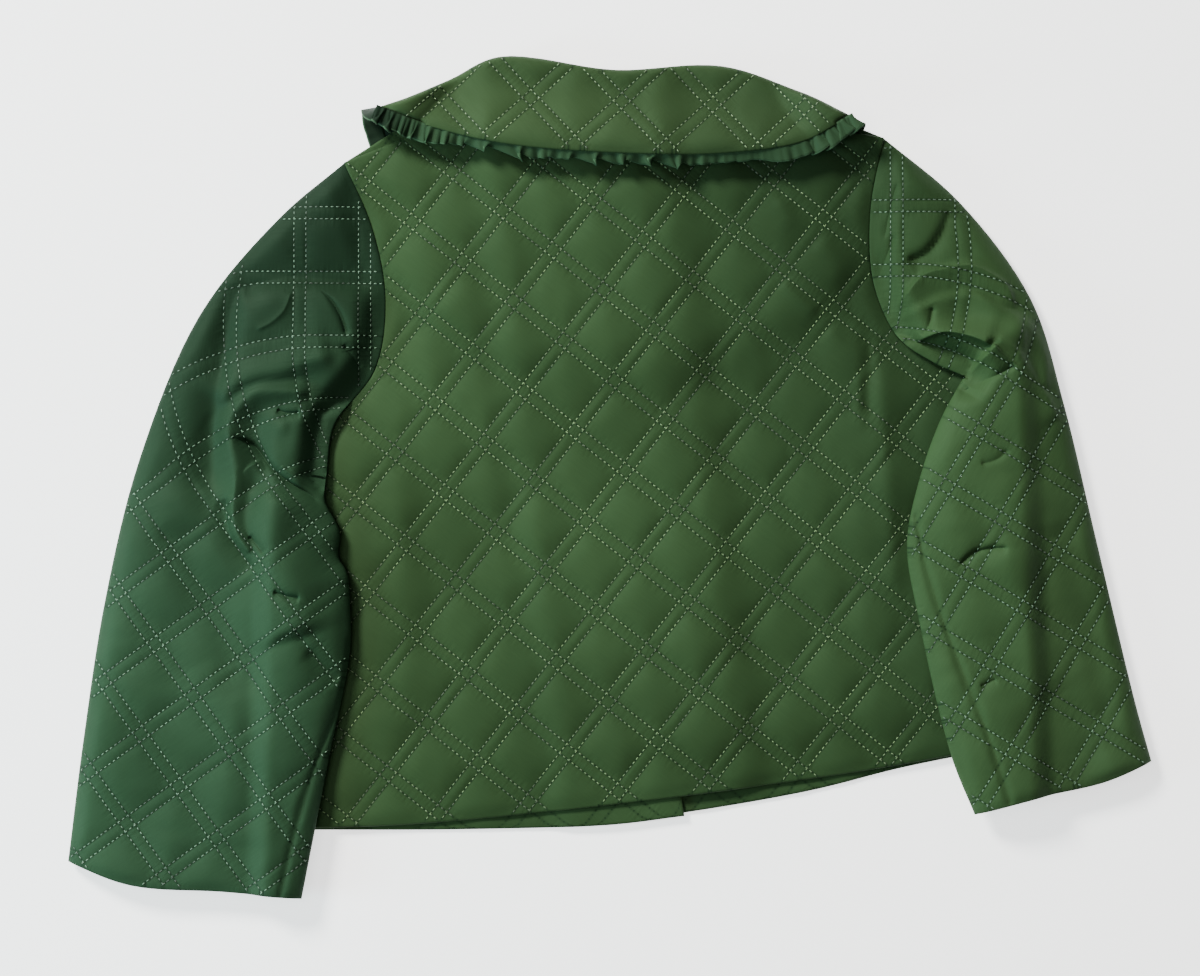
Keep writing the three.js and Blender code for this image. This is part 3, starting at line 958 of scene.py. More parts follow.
class Graph:
    """A small helper that adds nodes to a tree and links them."""

    def __init__(self, tree: bpy.types.NodeTree) -> None:
        """Starts on an empty tree."""
        self.tree = tree
        tree.nodes.clear()

    def add(self, kind: str, settings: dict | None = None, inputs: dict | None = None) -> bpy.types.Node:
        """Adds a node.

        Args:
            kind: the node's type.
            settings: its properties.
            inputs: its sockets, by name or number: a socket to link from, or a value.

        Returns:
            The node.
        """
        node = self.tree.nodes.new(kind)
        for key, value in (settings or {}).items():
            setattr(node, key, value)
        for key, value in (inputs or {}).items():
            socket = node.inputs[key]
            if isinstance(value, bpy.types.NodeSocket):
                self.tree.links.new(value, socket)
            else:
                socket.default_value = value
        return node

    def math(self, operation: str, *values: object) -> bpy.types.NodeSocket:
        """A Math node's result."""
        node = self.add("ShaderNodeMath", {"operation": operation}, dict(enumerate(values)))
        return node.outputs[0]

    def blend(self, share: object, first: object, second: object) -> bpy.types.NodeSocket:
        """A colour mixed from two, the second one's share as given."""
        inputs = {"Factor": share, 6: first, 7: second}
        return self.add("ShaderNodeMix", {"data_type": "RGBA"}, inputs).outputs[2]

    def ramp(self, value: bpy.types.NodeSocket, span: tuple[float, float],
             ends: tuple[float, float] = (0.0, 1.0), way: str = "LINEAR") -> bpy.types.NodeSocket:
        """Goes from one value to another as a third crosses a span.

        Args:
            value: what crosses the span.
            span: where it starts and ends.
            ends: the results there.
            way: the kind of step between.

        Returns:
            The result.
        """
        inputs = {0: value, 1: span[0], 2: span[1], 3: ends[0], 4: ends[1]}
        return self.add("ShaderNodeMapRange", {"interpolation_type": way}, inputs).outputs[0]

    def noise(self, place: bpy.types.NodeSocket, scale: float, detail: float, roughness: float = 0.5,
              sides: str = "3D") -> bpy.types.NodeSocket:
        """A Noise texture's value.

        Args:
            place: the coordinates.
            scale, detail, roughness: the texture's own settings.
            sides: how many dimensions it has.

        Returns:
            The value.
        """
        inputs = {"Vector": place, "Scale": scale, "Detail": detail, "Roughness": roughness}
        return self.add("ShaderNodeTexNoise", {"noise_dimensions": sides}, inputs).outputs[0]

    def bump(self, height: bpy.types.NodeSocket, strength: float, distance: float,
             over: bpy.types.NodeSocket | None = None) -> bpy.types.NodeSocket:
        """A Bump node's normal.

        Args:
            height: the relief.
            strength, distance: how much of it shows, and how high it is in metres.
            over: the normal that it is laid over, if any.

        Returns:
            The normal.
        """
        inputs = {"Strength": strength, "Distance": distance, "Height": height}
        if over is not None:
            inputs["Normal"] = over
        return self.add("ShaderNodeBump", inputs=inputs).outputs[0]

    def surface(self, inputs: dict) -> None:
        """Ends a material in one principled shader with these inputs."""
        shader = self.add("ShaderNodeBsdfPrincipled", inputs=inputs)
        self.add("ShaderNodeOutputMaterial", inputs={0: shader.outputs[0]})


def new_material(name: str) -> tuple[bpy.types.Material, Graph]:
    """Starts a material.

    Args:
        name: the material's name.

    Returns:
        The material and the graph that fills it.
    """
    material = bpy.data.materials.new(name)
    material.use_nodes = True
    return material, Graph(material.node_tree)


def new_group(name: str, inlet: str,
              outlets: Sequence[str]) -> tuple[Graph, bpy.types.NodeSocket, bpy.types.Node]:
    """Starts a node group with one vector coming in and values going out.

    Args:
        name: the group's name.
        inlet: the vector's name.
        outlets: the values' names.

    Returns:
        The graph that fills it, the vector and the node that takes the values.
    """
    tree = bpy.data.node_groups.new(name, "ShaderNodeTree")
    tree.interface.new_socket(inlet, in_out="INPUT", socket_type="NodeSocketVector")
    for outlet in outlets:
        tree.interface.new_socket(outlet, in_out="OUTPUT", socket_type="NodeSocketFloat")
    g = Graph(tree)
    return g, g.add("NodeGroupInput").outputs[0], g.add("NodeGroupOutput")


# The stitching's marks on the cloth, in metres from the line or the needle's hole: the painted shade of the
# grooves and the needle holes, and the puckers
GROOVE_HALF = 0.0021
PUCKER_FROM = 0.0006
PUCKER_TO = 0.0105
PUCKERS_ALONG = 290.0
PUCKERS_ACROSS = 62.0
HOLE_RADIUS = 0.00095
HOLE_CORE = 0.45


def stitched_group() -> bpy.types.NodeTree:
    """The quilting's effect on its cloth, from the stitch lines' coordinates.

    Returns:
        A group that gives Groove, which is 1 on the stitch lines, Pucker, the fine creases that
        run in from them, and Holes, the needle's holes between the stitches. Groove and Holes
        mask the painted shade in the grooves and in the needle holes.
    """
    g, quilt, leave = new_group("quilted cloth", "Quilt", ("Groove", "Pucker", "Holes"))
    apart = g.add("ShaderNodeSeparateXYZ", inputs={0: quilt})
    pitch, half = QUILTING.pitch / MM_PER_METRE, QUILTING.pair / 2 / MM_PER_METRE
    step = STITCH_PITCH / MM_PER_METRE
    grooves, puckers, holes = [], [], []
    for across, along in ((apart.outputs[0], apart.outputs[1]), (apart.outputs[1], apart.outputs[0])):
        shifted = g.math("ADD", across, pitch / 2)
        wrapped = g.math("SUBTRACT", g.math("FLOORED_MODULO", shifted, pitch), pitch / 2)
        off = g.math("ABSOLUTE", g.math("SUBTRACT", g.math("ABSOLUTE", wrapped), half))
        grooves.append(g.ramp(off, (0.0, GROOVE_HALF), (1.0, 0.0), "SMOOTHERSTEP"))
        beside = g.math("SUBTRACT", g.math("FLOORED_MODULO", along, step), step / 2)
        from_hole = g.math("SQRT", g.math("ADD", g.math("POWER", beside, 2.0), g.math("POWER", off, 2.0)))
        holes.append(g.ramp(from_hole, (HOLE_RADIUS * HOLE_CORE, HOLE_RADIUS), (1.0, 0.0), "SMOOTHSTEP"))
        reach = g.ramp(off, (PUCKER_FROM, PUCKER_TO), (1.0, 0.0), "SMOOTHERSTEP")
        spread = g.add("ShaderNodeCombineXYZ", inputs={
            0: g.math("MULTIPLY", along, PUCKERS_ALONG), 1: g.math("MULTIPLY", across, PUCKERS_ACROSS),
        })
        crease = g.noise(spread.outputs[0], 1.0, 2.0, 0.55, "2D")
        puckers.append(g.math("MULTIPLY", reach, g.math("SUBTRACT", crease, 0.5)))
    joined = (("MAXIMUM", grooves), ("ADD", puckers), ("MAXIMUM", holes))
    for socket, (operation, families) in zip(leave.inputs, joined):
        g.tree.links.new(g.math(operation, *families), socket)
    return g.tree


def weave_group() -> bpy.types.NodeTree:
    """The cloth's fine plain weave and its slubs.

    Returns:
        A group that gives Height, the threads' relief, and Slub, a faint streakiness.
    """
    g, place, leave = new_group("fine weave", "Place", ("Height", "Slub"))
    threads = [
        g.add("ShaderNodeTexWave", {"bands_direction": way}, {
            "Vector": place, "Scale": count, "Distortion": 0.6, "Detail": 1.0,
        }).outputs[1]
        for way, count in (("X", 420.0), ("Y", 330.0))
    ]
    stretched = g.add("ShaderNodeMapping", inputs={"Vector": place, "Scale": (1.0, 0.06, 1.0)})
    g.tree.links.new(g.math("ADD", *threads), leave.inputs[0])
    g.tree.links.new(g.noise(stretched.outputs[0], 900.0, 2.0), leave.inputs[1])
    return g.tree


@dataclass(frozen=True)
class ClothFinish:
    """Satin-faced nylon taffeta over thin wadding.

    The marks and the slubs are shares of the deep shade, the hole or the thread's colour, and
    the reliefs are a strength and a height in metres. The darkening along the stitch grooves
    and in the needle holes is painted shade.
    """

    stitched: bpy.types.NodeTree
    weave: bpy.types.NodeTree
    mottle: float = 7.0
    mottle_span: tuple[float, float] = (0.35, 0.68)
    slubs: float = 0.22
    # Shares of painted shade in the stitch grooves and in the needle holes
    grooves: float = 0.3
    holes: float = 0.65
    rolled_hem: float = 0.55
    hem_fade: float = 0.0004
    roughness: tuple[float, float] = (0.56, 0.7)
    weave_relief: tuple[float, float] = (0.22, 0.00012)
    pucker_relief: tuple[float, float] = (0.3, 0.0012)
    lustre: float = 0.09
    lustre_tint: tuple[float, float, float, float] = (0.6, 0.9, 0.68, 1.0)
    sheen: float = 0.012
    sheen_roughness: float = 0.35
    sheen_tint: tuple[float, float, float, float] = (0.5, 1.0, 0.6, 1.0)

    def make(self, name: str, shades: Shades, quilted: bool = True, hem: float = 0.0) -> bpy.types.Material:
        """Builds one cloth's material.

        Args:
            name: the material's name.
            shades: its colours.
            quilted: whether the stitch lines mark it.
            hem: where a strip's paler rolled hem starts across it, in metres, or 0 for none.

        Returns:
            The material.
        """
        material, g = new_material(name)
        deep = (*shades.deep, 1)
        uv = g.add("ShaderNodeUVMap", {"uv_map": "quilt"}).outputs[0]
        place = g.add("ShaderNodeTexCoord").outputs["Object"]
        weave = g.add("ShaderNodeGroup", {"node_tree": self.weave}, {0: uv})
        share = g.ramp(g.noise(place, self.mottle, 3.0), self.mottle_span)
        colour = g.blend(share, (*shades.middle, 1), (*shades.light, 1))
        # Painted shade: the cloth darkens smoothly towards one end, where less light falls
        colour = g.blend(self.painted_shade(g, place, shades), colour, deep)
        colour = g.blend(g.math("MULTIPLY", weave.outputs[1], self.slubs), colour, deep)
        roughness = g.ramp(weave.outputs[1], (0.0, 1.0), self.roughness)
        normal = g.bump(weave.outputs[0], *self.weave_relief)
        if quilted:
            marks = g.add("ShaderNodeGroup", {"node_tree": self.stitched}, {0: uv})
            # Painted shade along the stitch grooves and in the needle holes
            colour = g.blend(g.math("MULTIPLY", marks.outputs[0], self.grooves), colour, deep)
            colour = g.blend(g.math("MULTIPLY", marks.outputs[2], self.holes), colour, (*shades.hole, 1))
            normal = g.bump(marks.outputs[1], *self.pucker_relief, normal)
        if hem:
            across = g.add("ShaderNodeSeparateXYZ", inputs={0: uv}).outputs[1]
            rolled = g.math("MULTIPLY", g.ramp(across, (hem, hem + self.hem_fade)), self.rolled_hem)
            colour = g.blend(rolled, colour, (*shades.thread, 1))
        g.surface({
            "Base Color": colour, "Roughness": roughness, "Normal": normal,
            "Specular IOR Level": self.lustre, "Specular Tint": self.lustre_tint,
            "Sheen Weight": self.sheen, "Sheen Roughness": self.sheen_roughness,
            "Sheen Tint": self.sheen_tint,
        })
        return material

    @staticmethod
    def painted_shade(g: Graph, place: bpy.types.NodeSocket, shades: Shades) -> bpy.types.NodeSocket:
        """How far the painted shade darkens the cloth, most at the end that painted_shade_from names.

        Args:
            g: the material's graph.
            place: the Object coordinates.
            shades: the cloth's colours, with the two ends in the model's plane, in metres.

        Returns:
            The share of the deep shade.
        """
        way = np.array(shades.painted_shade_to) - np.array(shades.painted_shade_from)
        way = way / (way @ way)
        along = g.add("ShaderNodeVectorMath", {"operation": "DOT_PRODUCT"}, {0: place, 1: (*way, 0.0)})
        start = float(way @ np.array(shades.painted_shade_from))
        return g.ramp(along.outputs["Value"], (start, start + 1), (shades.painted_shade, 0.0), "SMOOTHSTEP")


@dataclass(frozen=True)
class ThreadFinish:
    """Twisted sewing thread, paler and darker in random patches along the rows: the paler patches are painted
    light on the thread and the darker ones painted shade.
    """

    pale: float = 1.4
    dark: float = 0.3
    patches: float = 45.0
    patch_span: tuple[float, float] = (0.36, 0.66)
    twist: float = 700.0
    twist_relief: tuple[float, float] = (0.4, 0.0001)
    roughness: float = 0.5
    sheen: float = 0.2

    def make(self, name: str, colour: tuple[float, float, float]) -> bpy.types.Material:
        """Builds one thread's material.

        Args:
            name: the material's name.
            colour: the thread's colour.

        Returns:
            The material.
        """
        material, g = new_material(name)
        place = g.add("ShaderNodeTexCoord").outputs["Object"]
        # Painted light and shade: random patches of paler, lit thread and darker thread in shade
        patchy = g.ramp(g.noise(place, self.patches, 2.0), self.patch_span)
        pale = (min(1.0, c * self.pale) for c in colour)
        shade = g.blend(patchy, (*(self.dark * c for c in colour), 1), (*pale, 1))
        waves = {"Vector": place, "Scale": self.twist}
        twist = g.add("ShaderNodeTexWave", {"bands_direction": "DIAGONAL"}, waves)
        g.surface({
            "Base Color": shade, "Roughness": self.roughness, "Sheen Weight": self.sheen,
            "Normal": g.bump(twist.outputs[1], *self.twist_relief),
        })
        return material


def dress(piece: bpy.types.Object, material: bpy.types.Material, slot: str, *nodes: str) -> bpy.types.Object:
    """Gives a piece its material and its body, and lets it stand for its CAD nodes.

    Args:
        piece: the object.
        material: its material.
        slot: not used.
        nodes: the CAD nodes that it replaces, if any.

    Returns:
        The same object.
    """
    piece.data.materials.append(material)
    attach(piece, ROOT)
    if nodes:
        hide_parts(*nodes)
    LOG.info("%s: %d faces", piece.name, len(piece.data.polygons))
    return piece


@dataclass
class Body:
    """The back panel and the two fronts under it."""

    pinch: float = 10.0
    rim: float = 1.8
    drift: float = 2.2
    deepest: float = 1.5
    edge_run: float = 55.0
    sewn_from: float = 2.5
    collar_over: tuple[float, float] = (150.0, -44.0)
    front_thinner: float = 0.7
    folds: tuple[Fold, ...] = (
        Fold(((180, 124), (177, 95), (173, 65), (168, 32)), -3.2, 3.6, 3.6, sharp=1.3),
        Fold(((188, 119), (183, 80), (178, 20), (174, -60), (171, -105)), 3.4, 9, 16, sharp=1.5),
        Fold(((168, 110), (166, 70), (160, 20)), 2.0, 12, 6, sharp=1.5),
        Fold(((120, 201), (124, 192), (123, 180)), 1.7, 6, 3, sharp=1.2),
        Fold(((146, 167), (156, 153), (157, 137)), 1.9, 7, 3, sharp=1.2),
        Fold(((116, 140), (125, 128), (137, 114)), 1.7, 7, 3, sharp=1.2),
        Fold(((145, 100), (155, 86), (159, 77)), 1.6, 7, 3, sharp=1.2),
        Fold(((-150, 215), (-120, 120), (-110, 30)), 1.8, 26, 26),
        Fold(((20, 60), (40, -60), (30, -160)), 1.6, 30, 30),
        Fold(((-190, 20), (-196, -60), (-205, -160)), 2.4, 14, 20),
    )
    layout: Layout = Layout((-16.7, 82.9))
    reach: tuple[int, int, int, int] = (-9, 9, -9, 9)

    def __post_init__(self) -> None:
        """Draws the outlines."""
        self.armhole_left = self.under_sleeve(smooth(ARMHOLE_LEFT), 1)
        self.armhole_right = self.under_sleeve(smooth(ARMHOLE_RIGHT), -1)
        self.neckline = from_neck(smooth(NECKLINE))
        self.noise = Noise(9)
        self.outline = np.vstack([
            smooth(HEM_BACK), [PIT_RIGHT], self.armhole_right[::-1],
            self.neckline[::-1], self.armhole_left, [PIT_LEFT],
        ])

    @staticmethod
    def under_sleeve(armhole: Array, side: int) -> Array:
        """The armhole's line with its lower end carried on under the sleeve."""
        share = ease((ARMPIT_FROM - armhole[:, 1]) / ARMPIT_RUN)[:, None]
        return mix(armhole, moved_sideways(armhole, side * ARMPIT_REACH), share)

    def lie(self, x: Array, y: Array) -> Array:
        """How the back's soft folds lift it off the fronts.

        Args:
            x, y: the plan positions.

        Returns:
            The lift at each, 0 at the edge.
        """
        edge = near(closed(self.outline), x, y).distance
        drift = self.drift * (0.5 + 0.5 * self.noise.at(x / 95, y / 120 + 4))
        fold = np.maximum(folded(self.folds, x, y), -self.deepest)
        return (drift + fold + self.deepest) * ease(edge / self.edge_run)

    def top(self, x: Array, y: Array, a: Array, b: Array) -> Array:
        """The back's outer side.

        Args:
            x, y: the plan positions.
            a, b: the stitch lines' coordinates there.

        Returns:
            The height at each.
        """
        edge = near(closed(self.outline), x, y).distance
        quilt = QUILTING.height(a, b) * ease(edge / self.pinch)
        return back_under(x, y) + self.lie(x, y) + WALL + quilt

    def bottom(self, x: Array, y: Array, a: Array, b: Array) -> Array:
        """The back's inner side."""
        return back_under(x, y) + self.lie(x, y)

    def build_back(self) -> bpy.types.Object:
        """Cuts and drapes the back panel.

        Returns:
            The panel.
        """
        cloth = Cloth(self.layout, QUILTING, self.reach)
        cloth.cut(self.outline, self.rim)
        cloth.roll_edge(self.rim, 3)
        cloth.add_underside()
        cloth.drape(self.top, self.bottom)
        return cloth.finish("back_panel")

    def sew_back(self) -> bpy.types.Object:
        """Sews the back's quilting.

        Returns:
            One object with all its stitches.
        """
        def keep(x: Array, y: Array) -> Array:
            """Finds where the back is sewn.

            Args:
                x, y: the plan positions.

            Returns:
                Whether each is inside the edge and out from under the collar's fall.
            """
            edge = near(closed(self.outline), x, y).distance
            u, v = to_neck(x, y)
            under_collar = (np.abs(u) < self.collar_over[0]) & (v > self.collar_over[1])
            return inside(self.outline, x, y) & (edge > self.sewn_from) & ~under_collar
        return Stitches().follow("back_stitching", QUILTING, self.layout, self.reach, self.top, keep)

    def front_outline(self, side: Side) -> Array:
        """Draws one front.

        Args:
            side: which front.

        Returns:
            Its closed outline.
        """
        neck = from_neck(ellipse(FRONT_COLLAR_INNER, 180, 360))
        if side is Side.LEFT:
            neck = neck[neck[:, 0] < LAP_TO]
            return np.vstack([
                smooth(HEM_FRONT_LEFT), [(LAP_TO, neck[-1][1])], neck[::-1], self.armhole_left, [PIT_LEFT],
            ])
        neck = neck[neck[:, 0] > LAP_FROM]
        return np.vstack([
            smooth(HEM_FRONT_RIGHT), [PIT_RIGHT], self.armhole_right[::-1], neck[::-1],
            [(LAP_FROM, neck[0][1])],
        ])

    def build_front(self, side: Side) -> bpy.types.Object:
        """Cuts one front, which lies flat with its outer side down.

        Args:
            side: which front.

        Returns:
            The front.
        """
        def under(x: Array, y: Array, a: Array, b: Array) -> Array:
            """The front's outer side, which lies on the floor, the collar and the other front."""
            return collar_lift(x, y) + (lap_up(x) if side is Side.LEFT else 0 * x)

        def over(x: Array, y: Array, a: Array, b: Array) -> Array:
            """The front's inner side, under the back."""
            wall = FRONT_WALL - self.front_thinner
            return under(x, y, a, b) + wall + PLAIN_QUILTING.height(a, b)

        cloth = Cloth(self.layout, PLAIN_QUILTING, self.reach)
        cloth.cut(self.front_outline(side), self.rim)
        cloth.roll_edge(self.rim, 3)
        cloth.add_underside()
        cloth.drape(over, under)
        return cloth.finish(f"front_{side.value}_panel")


@dataclass
class Sleeve:
    """A set-in sleeve: a flattened tube, lying on the body's side and bent at the elbow.

    The folds fade out with the sleeve's head, and the flaps, which hang over their own edges,
    run on to the seam.
    """

    side: Side
    armhole: Points
    outer: Points
    cuff: Points
    inner: Points
    arm: Arm
    pit: tuple[float, float]
    side_to: tuple[float, float]
    inwards: int
    folds: tuple[Fold, ...]
    seam_line: Points
    flat: tuple[float, float]
    area: float
    flaps: tuple[Fold, ...] = ()
    rim: float = 4.5
    loft: float = 13.0
    fold_edge: float = 6.0
    fold_roll: float = 34.0
    lower_roll: float = 15.0
    sinks: float = 0.8
    head_run: float = 26.0
    flap_run: float = 5.0
    least: float = 3.6
    pinch: float = 9.0
    calm_run: float = 14.0
    drift: float = 2.4
    seam_run: float = 7.0
    seam_puff: float = 0.15
    seam_depth: float = 1.5
    seam_half: float = 1.7
    sewn_from: float = 2.2
    refined: tuple[float, float] = (6.0, 2.4)
    allowance: float = 24.0
    allowance_lift: float = 1.2
    reach: tuple[int, int, int, int] = (-6, 14, -6, 14)

    def __post_init__(self) -> None:
        """Draws the outline's edges."""
        self.seam = smooth(self.armhole)
        self.edge_outer, self.edge_inner = smooth(self.outer), smooth(self.inner)
        self.end = smooth(self.cuff)
        self.mouth = moved_sideways(self.seam, -self.inwards * SEAM_GAP)
        self.noise = Noise(31 if self.side is Side.LEFT else 47)
        self.underarm = smooth(self.seam_line)
        self.outline = np.vstack([
            self.mouth[::-1], self.edge_outer[1:], self.end[1:-1], self.edge_inner[:-1],
        ])

    def under(self, x: Array, y: Array, top: float = SIDE_TOP) -> Array:
        """The height of what the sleeve lies on.

        Args:
            x, y: the plan positions.
            top: the y below which the sleeve lies on the body's side.

        Returns:
            The height at each, 0 on the floor.
        """
        f = (self.pit[1] - y) / (self.pit[1] - self.side_to[1])
        side_x = mix(self.pit[0], self.side_to[0], f)
        within = self.inwards * (x - side_x) + SIDE_CLEAR + SIDE_RAMP
        body = back_under(x, y) + WALL + QUILT_ROOM + BODY_CLEARANCE
        return body * ease(within / SIDE_RAMP) * ease((top - y) / SIDE_RAMP)

    def edge(self, x: Array, y: Array) -> Array:
        """The distance from the nearer folded side of the tube."""
        return np.minimum(near(self.edge_outer, x, y).distance, near(self.edge_inner, x, y).distance)

    def rounded(self, x: Array, y: Array, run: float) -> Array:
        """How far a layer has left its folded side.

        Args:
            x, y: the plan positions.
            run: how far in from the side the layer turns.

        Returns:
            0 at the side and 1 past the turn, as a quarter circle between.
        """
        share = np.minimum(self.edge(x, y), run) / run
        return np.sqrt(np.clip(1 - (1 - share) ** 2, 0, 1))

    def form(self, x: Array, y: Array) -> Array:
        """The upper layer's height without its quilting.

        Args:
            x, y: the plan positions.

        Returns:
            The height at each.
        """
        under = self.under(x, y)
        middle = under + self.fold_edge
        drift = self.drift * self.noise.at(x / 60, y / 70)
        full = under * self.sinks + self.fold_edge + self.loft + drift + folded(self.folds, x, y)
        at_seam = back_under(x, y) + WALL + BODY_CLEARANCE
        from_seam = near(self.seam, x, y).distance
        full = mix(at_seam, full, ease(from_seam / self.head_run))
        full = full + folded(self.flaps, x, y) * ease(from_seam / self.flap_run)
        full = np.maximum(full, under + self.least)
        return mix(np.minimum(middle, full), full, self.rounded(x, y, self.fold_roll))

    def top(self, x: Array, y: Array, a: Array, b: Array) -> Array:
        """The upper layer's outer side.

        Args:
            x, y: the plan positions.
            a, b: the stitch lines' coordinates there.

        Returns:
            The height at each.
        """
        ends = np.minimum(near(self.seam, x, y).distance, near(self.end, x, y).distance)
        seam = near(self.underarm, x, y).distance
        puff = self.seam_puff + (1 - self.seam_puff) * ease(seam / self.seam_run)
        calm = ease(self.edge(x, y) / self.calm_run) * ease(ends / self.pinch) * puff
        groove = self.seam_depth * np.exp(-((seam / self.seam_half) ** 2))
        return self.form(x, y) + FINE_QUILTING.height(a, b) * calm - groove

    def bottom(self, x: Array, y: Array, a: Array, b: Array) -> Array:
        """The lower layer's outer side, flat where it rests.

        Args:
            x, y: the plan positions.
            a, b: not used.

        Returns:
            The height at each.
        """
        under = self.under(x, y, LOWER_SIDE_TOP)
        middle = np.minimum(under + self.fold_edge, self.form(x, y))
        return mix(middle, under, self.rounded(x, y, self.lower_roll))

    def build(self) -> bpy.types.Object:
        """Cuts the tube's two layers, drapes them and turns its ends in.

        Returns:
            The tube.
        """
        cloth = Cloth(self.arm, FINE_QUILTING, self.reach)
        cloth.cut(self.outline, self.rim, margin=0.7)
        creases = [fold.line for fold in (*self.folds, *self.flaps) if fold.is_crease]
        for reach in self.refined:
            cloth.refine(creases, reach)
        cloth.roll_edge(self.rim, 5)
        cloth.add_underside()
        cloth.drape(self.top, self.bottom, (self.end, self.mouth))
        cloth.turn_in(self.outline, self.allowance, self.allowance_lift)
        return cloth.finish(f"sleeve_{self.side.value}_tube")

    def sew(self) -> bpy.types.Object:
        """Sews the sleeve's quilting.

        Returns:
            One object with all its stitches.
        """
        def keep(x: Array, y: Array) -> Array:
            """Finds where the sleeve is sewn.

            Args:
                x, y: the plan positions.

            Returns:
                Whether each is inside the edge and off the underarm seam.
            """
            edge = near(closed(self.outline), x, y).distance
            seam = near(self.underarm, x, y).distance
            return inside(self.outline, x, y) & (edge > self.sewn_from) & (seam > 2.0)
        name = f"sleeve_{self.side.value}_stitching"
        return Stitches(seed=33).follow(name, FINE_QUILTING, self.arm, self.reach, self.top, keep)


def left_sleeve() -> Sleeve:
    """The sleeve at the photograph's left, folded twice below its head.

    Returns:
        The sleeve, with its folds in order from its head to its cuff.
    """
    return Sleeve(
        side=Side.LEFT,
        armhole=ARMHOLE_LEFT,
        outer=(
            (-198, 269), (-251, 234), (-319, 169), (-377, 67), (-415, -34), (-444, -137), (-466, -225),
        ),
        cuff=((-466, -225), (-420, -248), (-352, -261), (-295, -273)),
        inner=(
            (-295, -273), (-263, -174), (-237, -94), (-233, -62), (-232, -36), (-237, -23), (-234, -4),
            (-242, 20), (-239, 39),
        ),
        arm=Arm((-190, 165), -142, 52, 200, 36, (-8, -15)),
        pit=PIT_LEFT,
        side_to=(-290, -222),
        inwards=1,
        folds=(
            Fold(((-185, 174), (-209, 181), (-242, 188), (-268, 188), (-289, 180)), -9, 9, 46, sharp=1.5),
            Fold(((-268, 190), (-288, 183), (-295, 170), (-301, 150), (-308, 126), (-315, 104), (-320, 82),
                  (-323, 60), (-324, 35)), -8, 8, 16, sharp=1.6),
            Fold(((-313, 101), (-302, 112), (-284, 118), (-261, 120), (-241, 124), (-222, 127)), 6, 16, 8,
                 sharp=1.6),
            Fold(((-243, 101), (-265, 105), (-283, 106), (-295, 99), (-302, 92), (-307, 81), (-306, 70),
                  (-305, 56), (-306, 40), (-310, 20), (-309, 4), (-298, -17)), 8, 13, 6, sharp=1.5, fade=0.1),
            Fold(((-269, 183), (-258, 184), (-247, 181)), -3, 1.5, 3.5, sharp=1.1),
            Fold(((-228, 178), (-220, 168), (-214, 155), (-211, 140)), -3.4, 2.5, 1.4, sharp=1.1),
            Fold(((-248, 177), (-255, 164), (-266, 156), (-277, 152)), 1.2, 2.2, 3.0, sharp=1.2),
            Fold(((-215, 133), (-209, 125), (-204, 115)), -3, 2.5, 1.5, sharp=1.1),
            Fold(((-269, 91), (-262, 88), (-252, 87)), -3.5, 2.0, 3.0, sharp=1.1),
            Fold(((-270, 80), (-262, 78)), 1.5, 7, 7),
            Fold(((-302, 74), (-290, 67), (-279, 50), (-266, 36), (-253, 26), (-243, 16)), -7, 2.2, 4.5,
                 sharp=1.1, fade=0.25),
            Fold(((-272, 50), (-260, 38), (-247, 28)), 2.2, 3.5, 1.6, sharp=1.3),
            Fold(((-285, 55), (-297, 50), (-306, 38), (-312, 15), (-304, -7)), 6, 17, 2.4, sharp=1.3),
            Fold(((-234, 92), (-238, 54), (-243, 34)), -7, 3, 6, sharp=1.2),
            Fold(((-272, 32), (-284, 2), (-280, -40), (-272, -80)), 9, 22, 26),
            Fold(((-315, 30), (-316, 12), (-312, -4), (-300, -25)), -4, 2.2, 8, sharp=1.2),
            Fold(((-301, 0), (-296, -6), (-291, -14)), -3, 3, 1.6, sharp=1.1),
            Fold(((-287, -43), (-278, -47), (-268, -50)), -3.6, 2, 3, sharp=1.1),
            Fold(((-268, -90), (-248, -115)), -4, 5, 6, sharp=1.2),
            Fold(((-360, 20), (-330, -60), (-318, -120)), -2.5, 16, 16),
            Fold(((-350, -90), (-330, -160), (-335, -230)), 2.5, 18, 22),
        ),
        seam_line=((-310, -268), (-295, -226), (-273, -176), (-252, -137), (-244, -116), (-236, -86)),
        flat=(0.42, 0.60),
        area=0.19,
    )


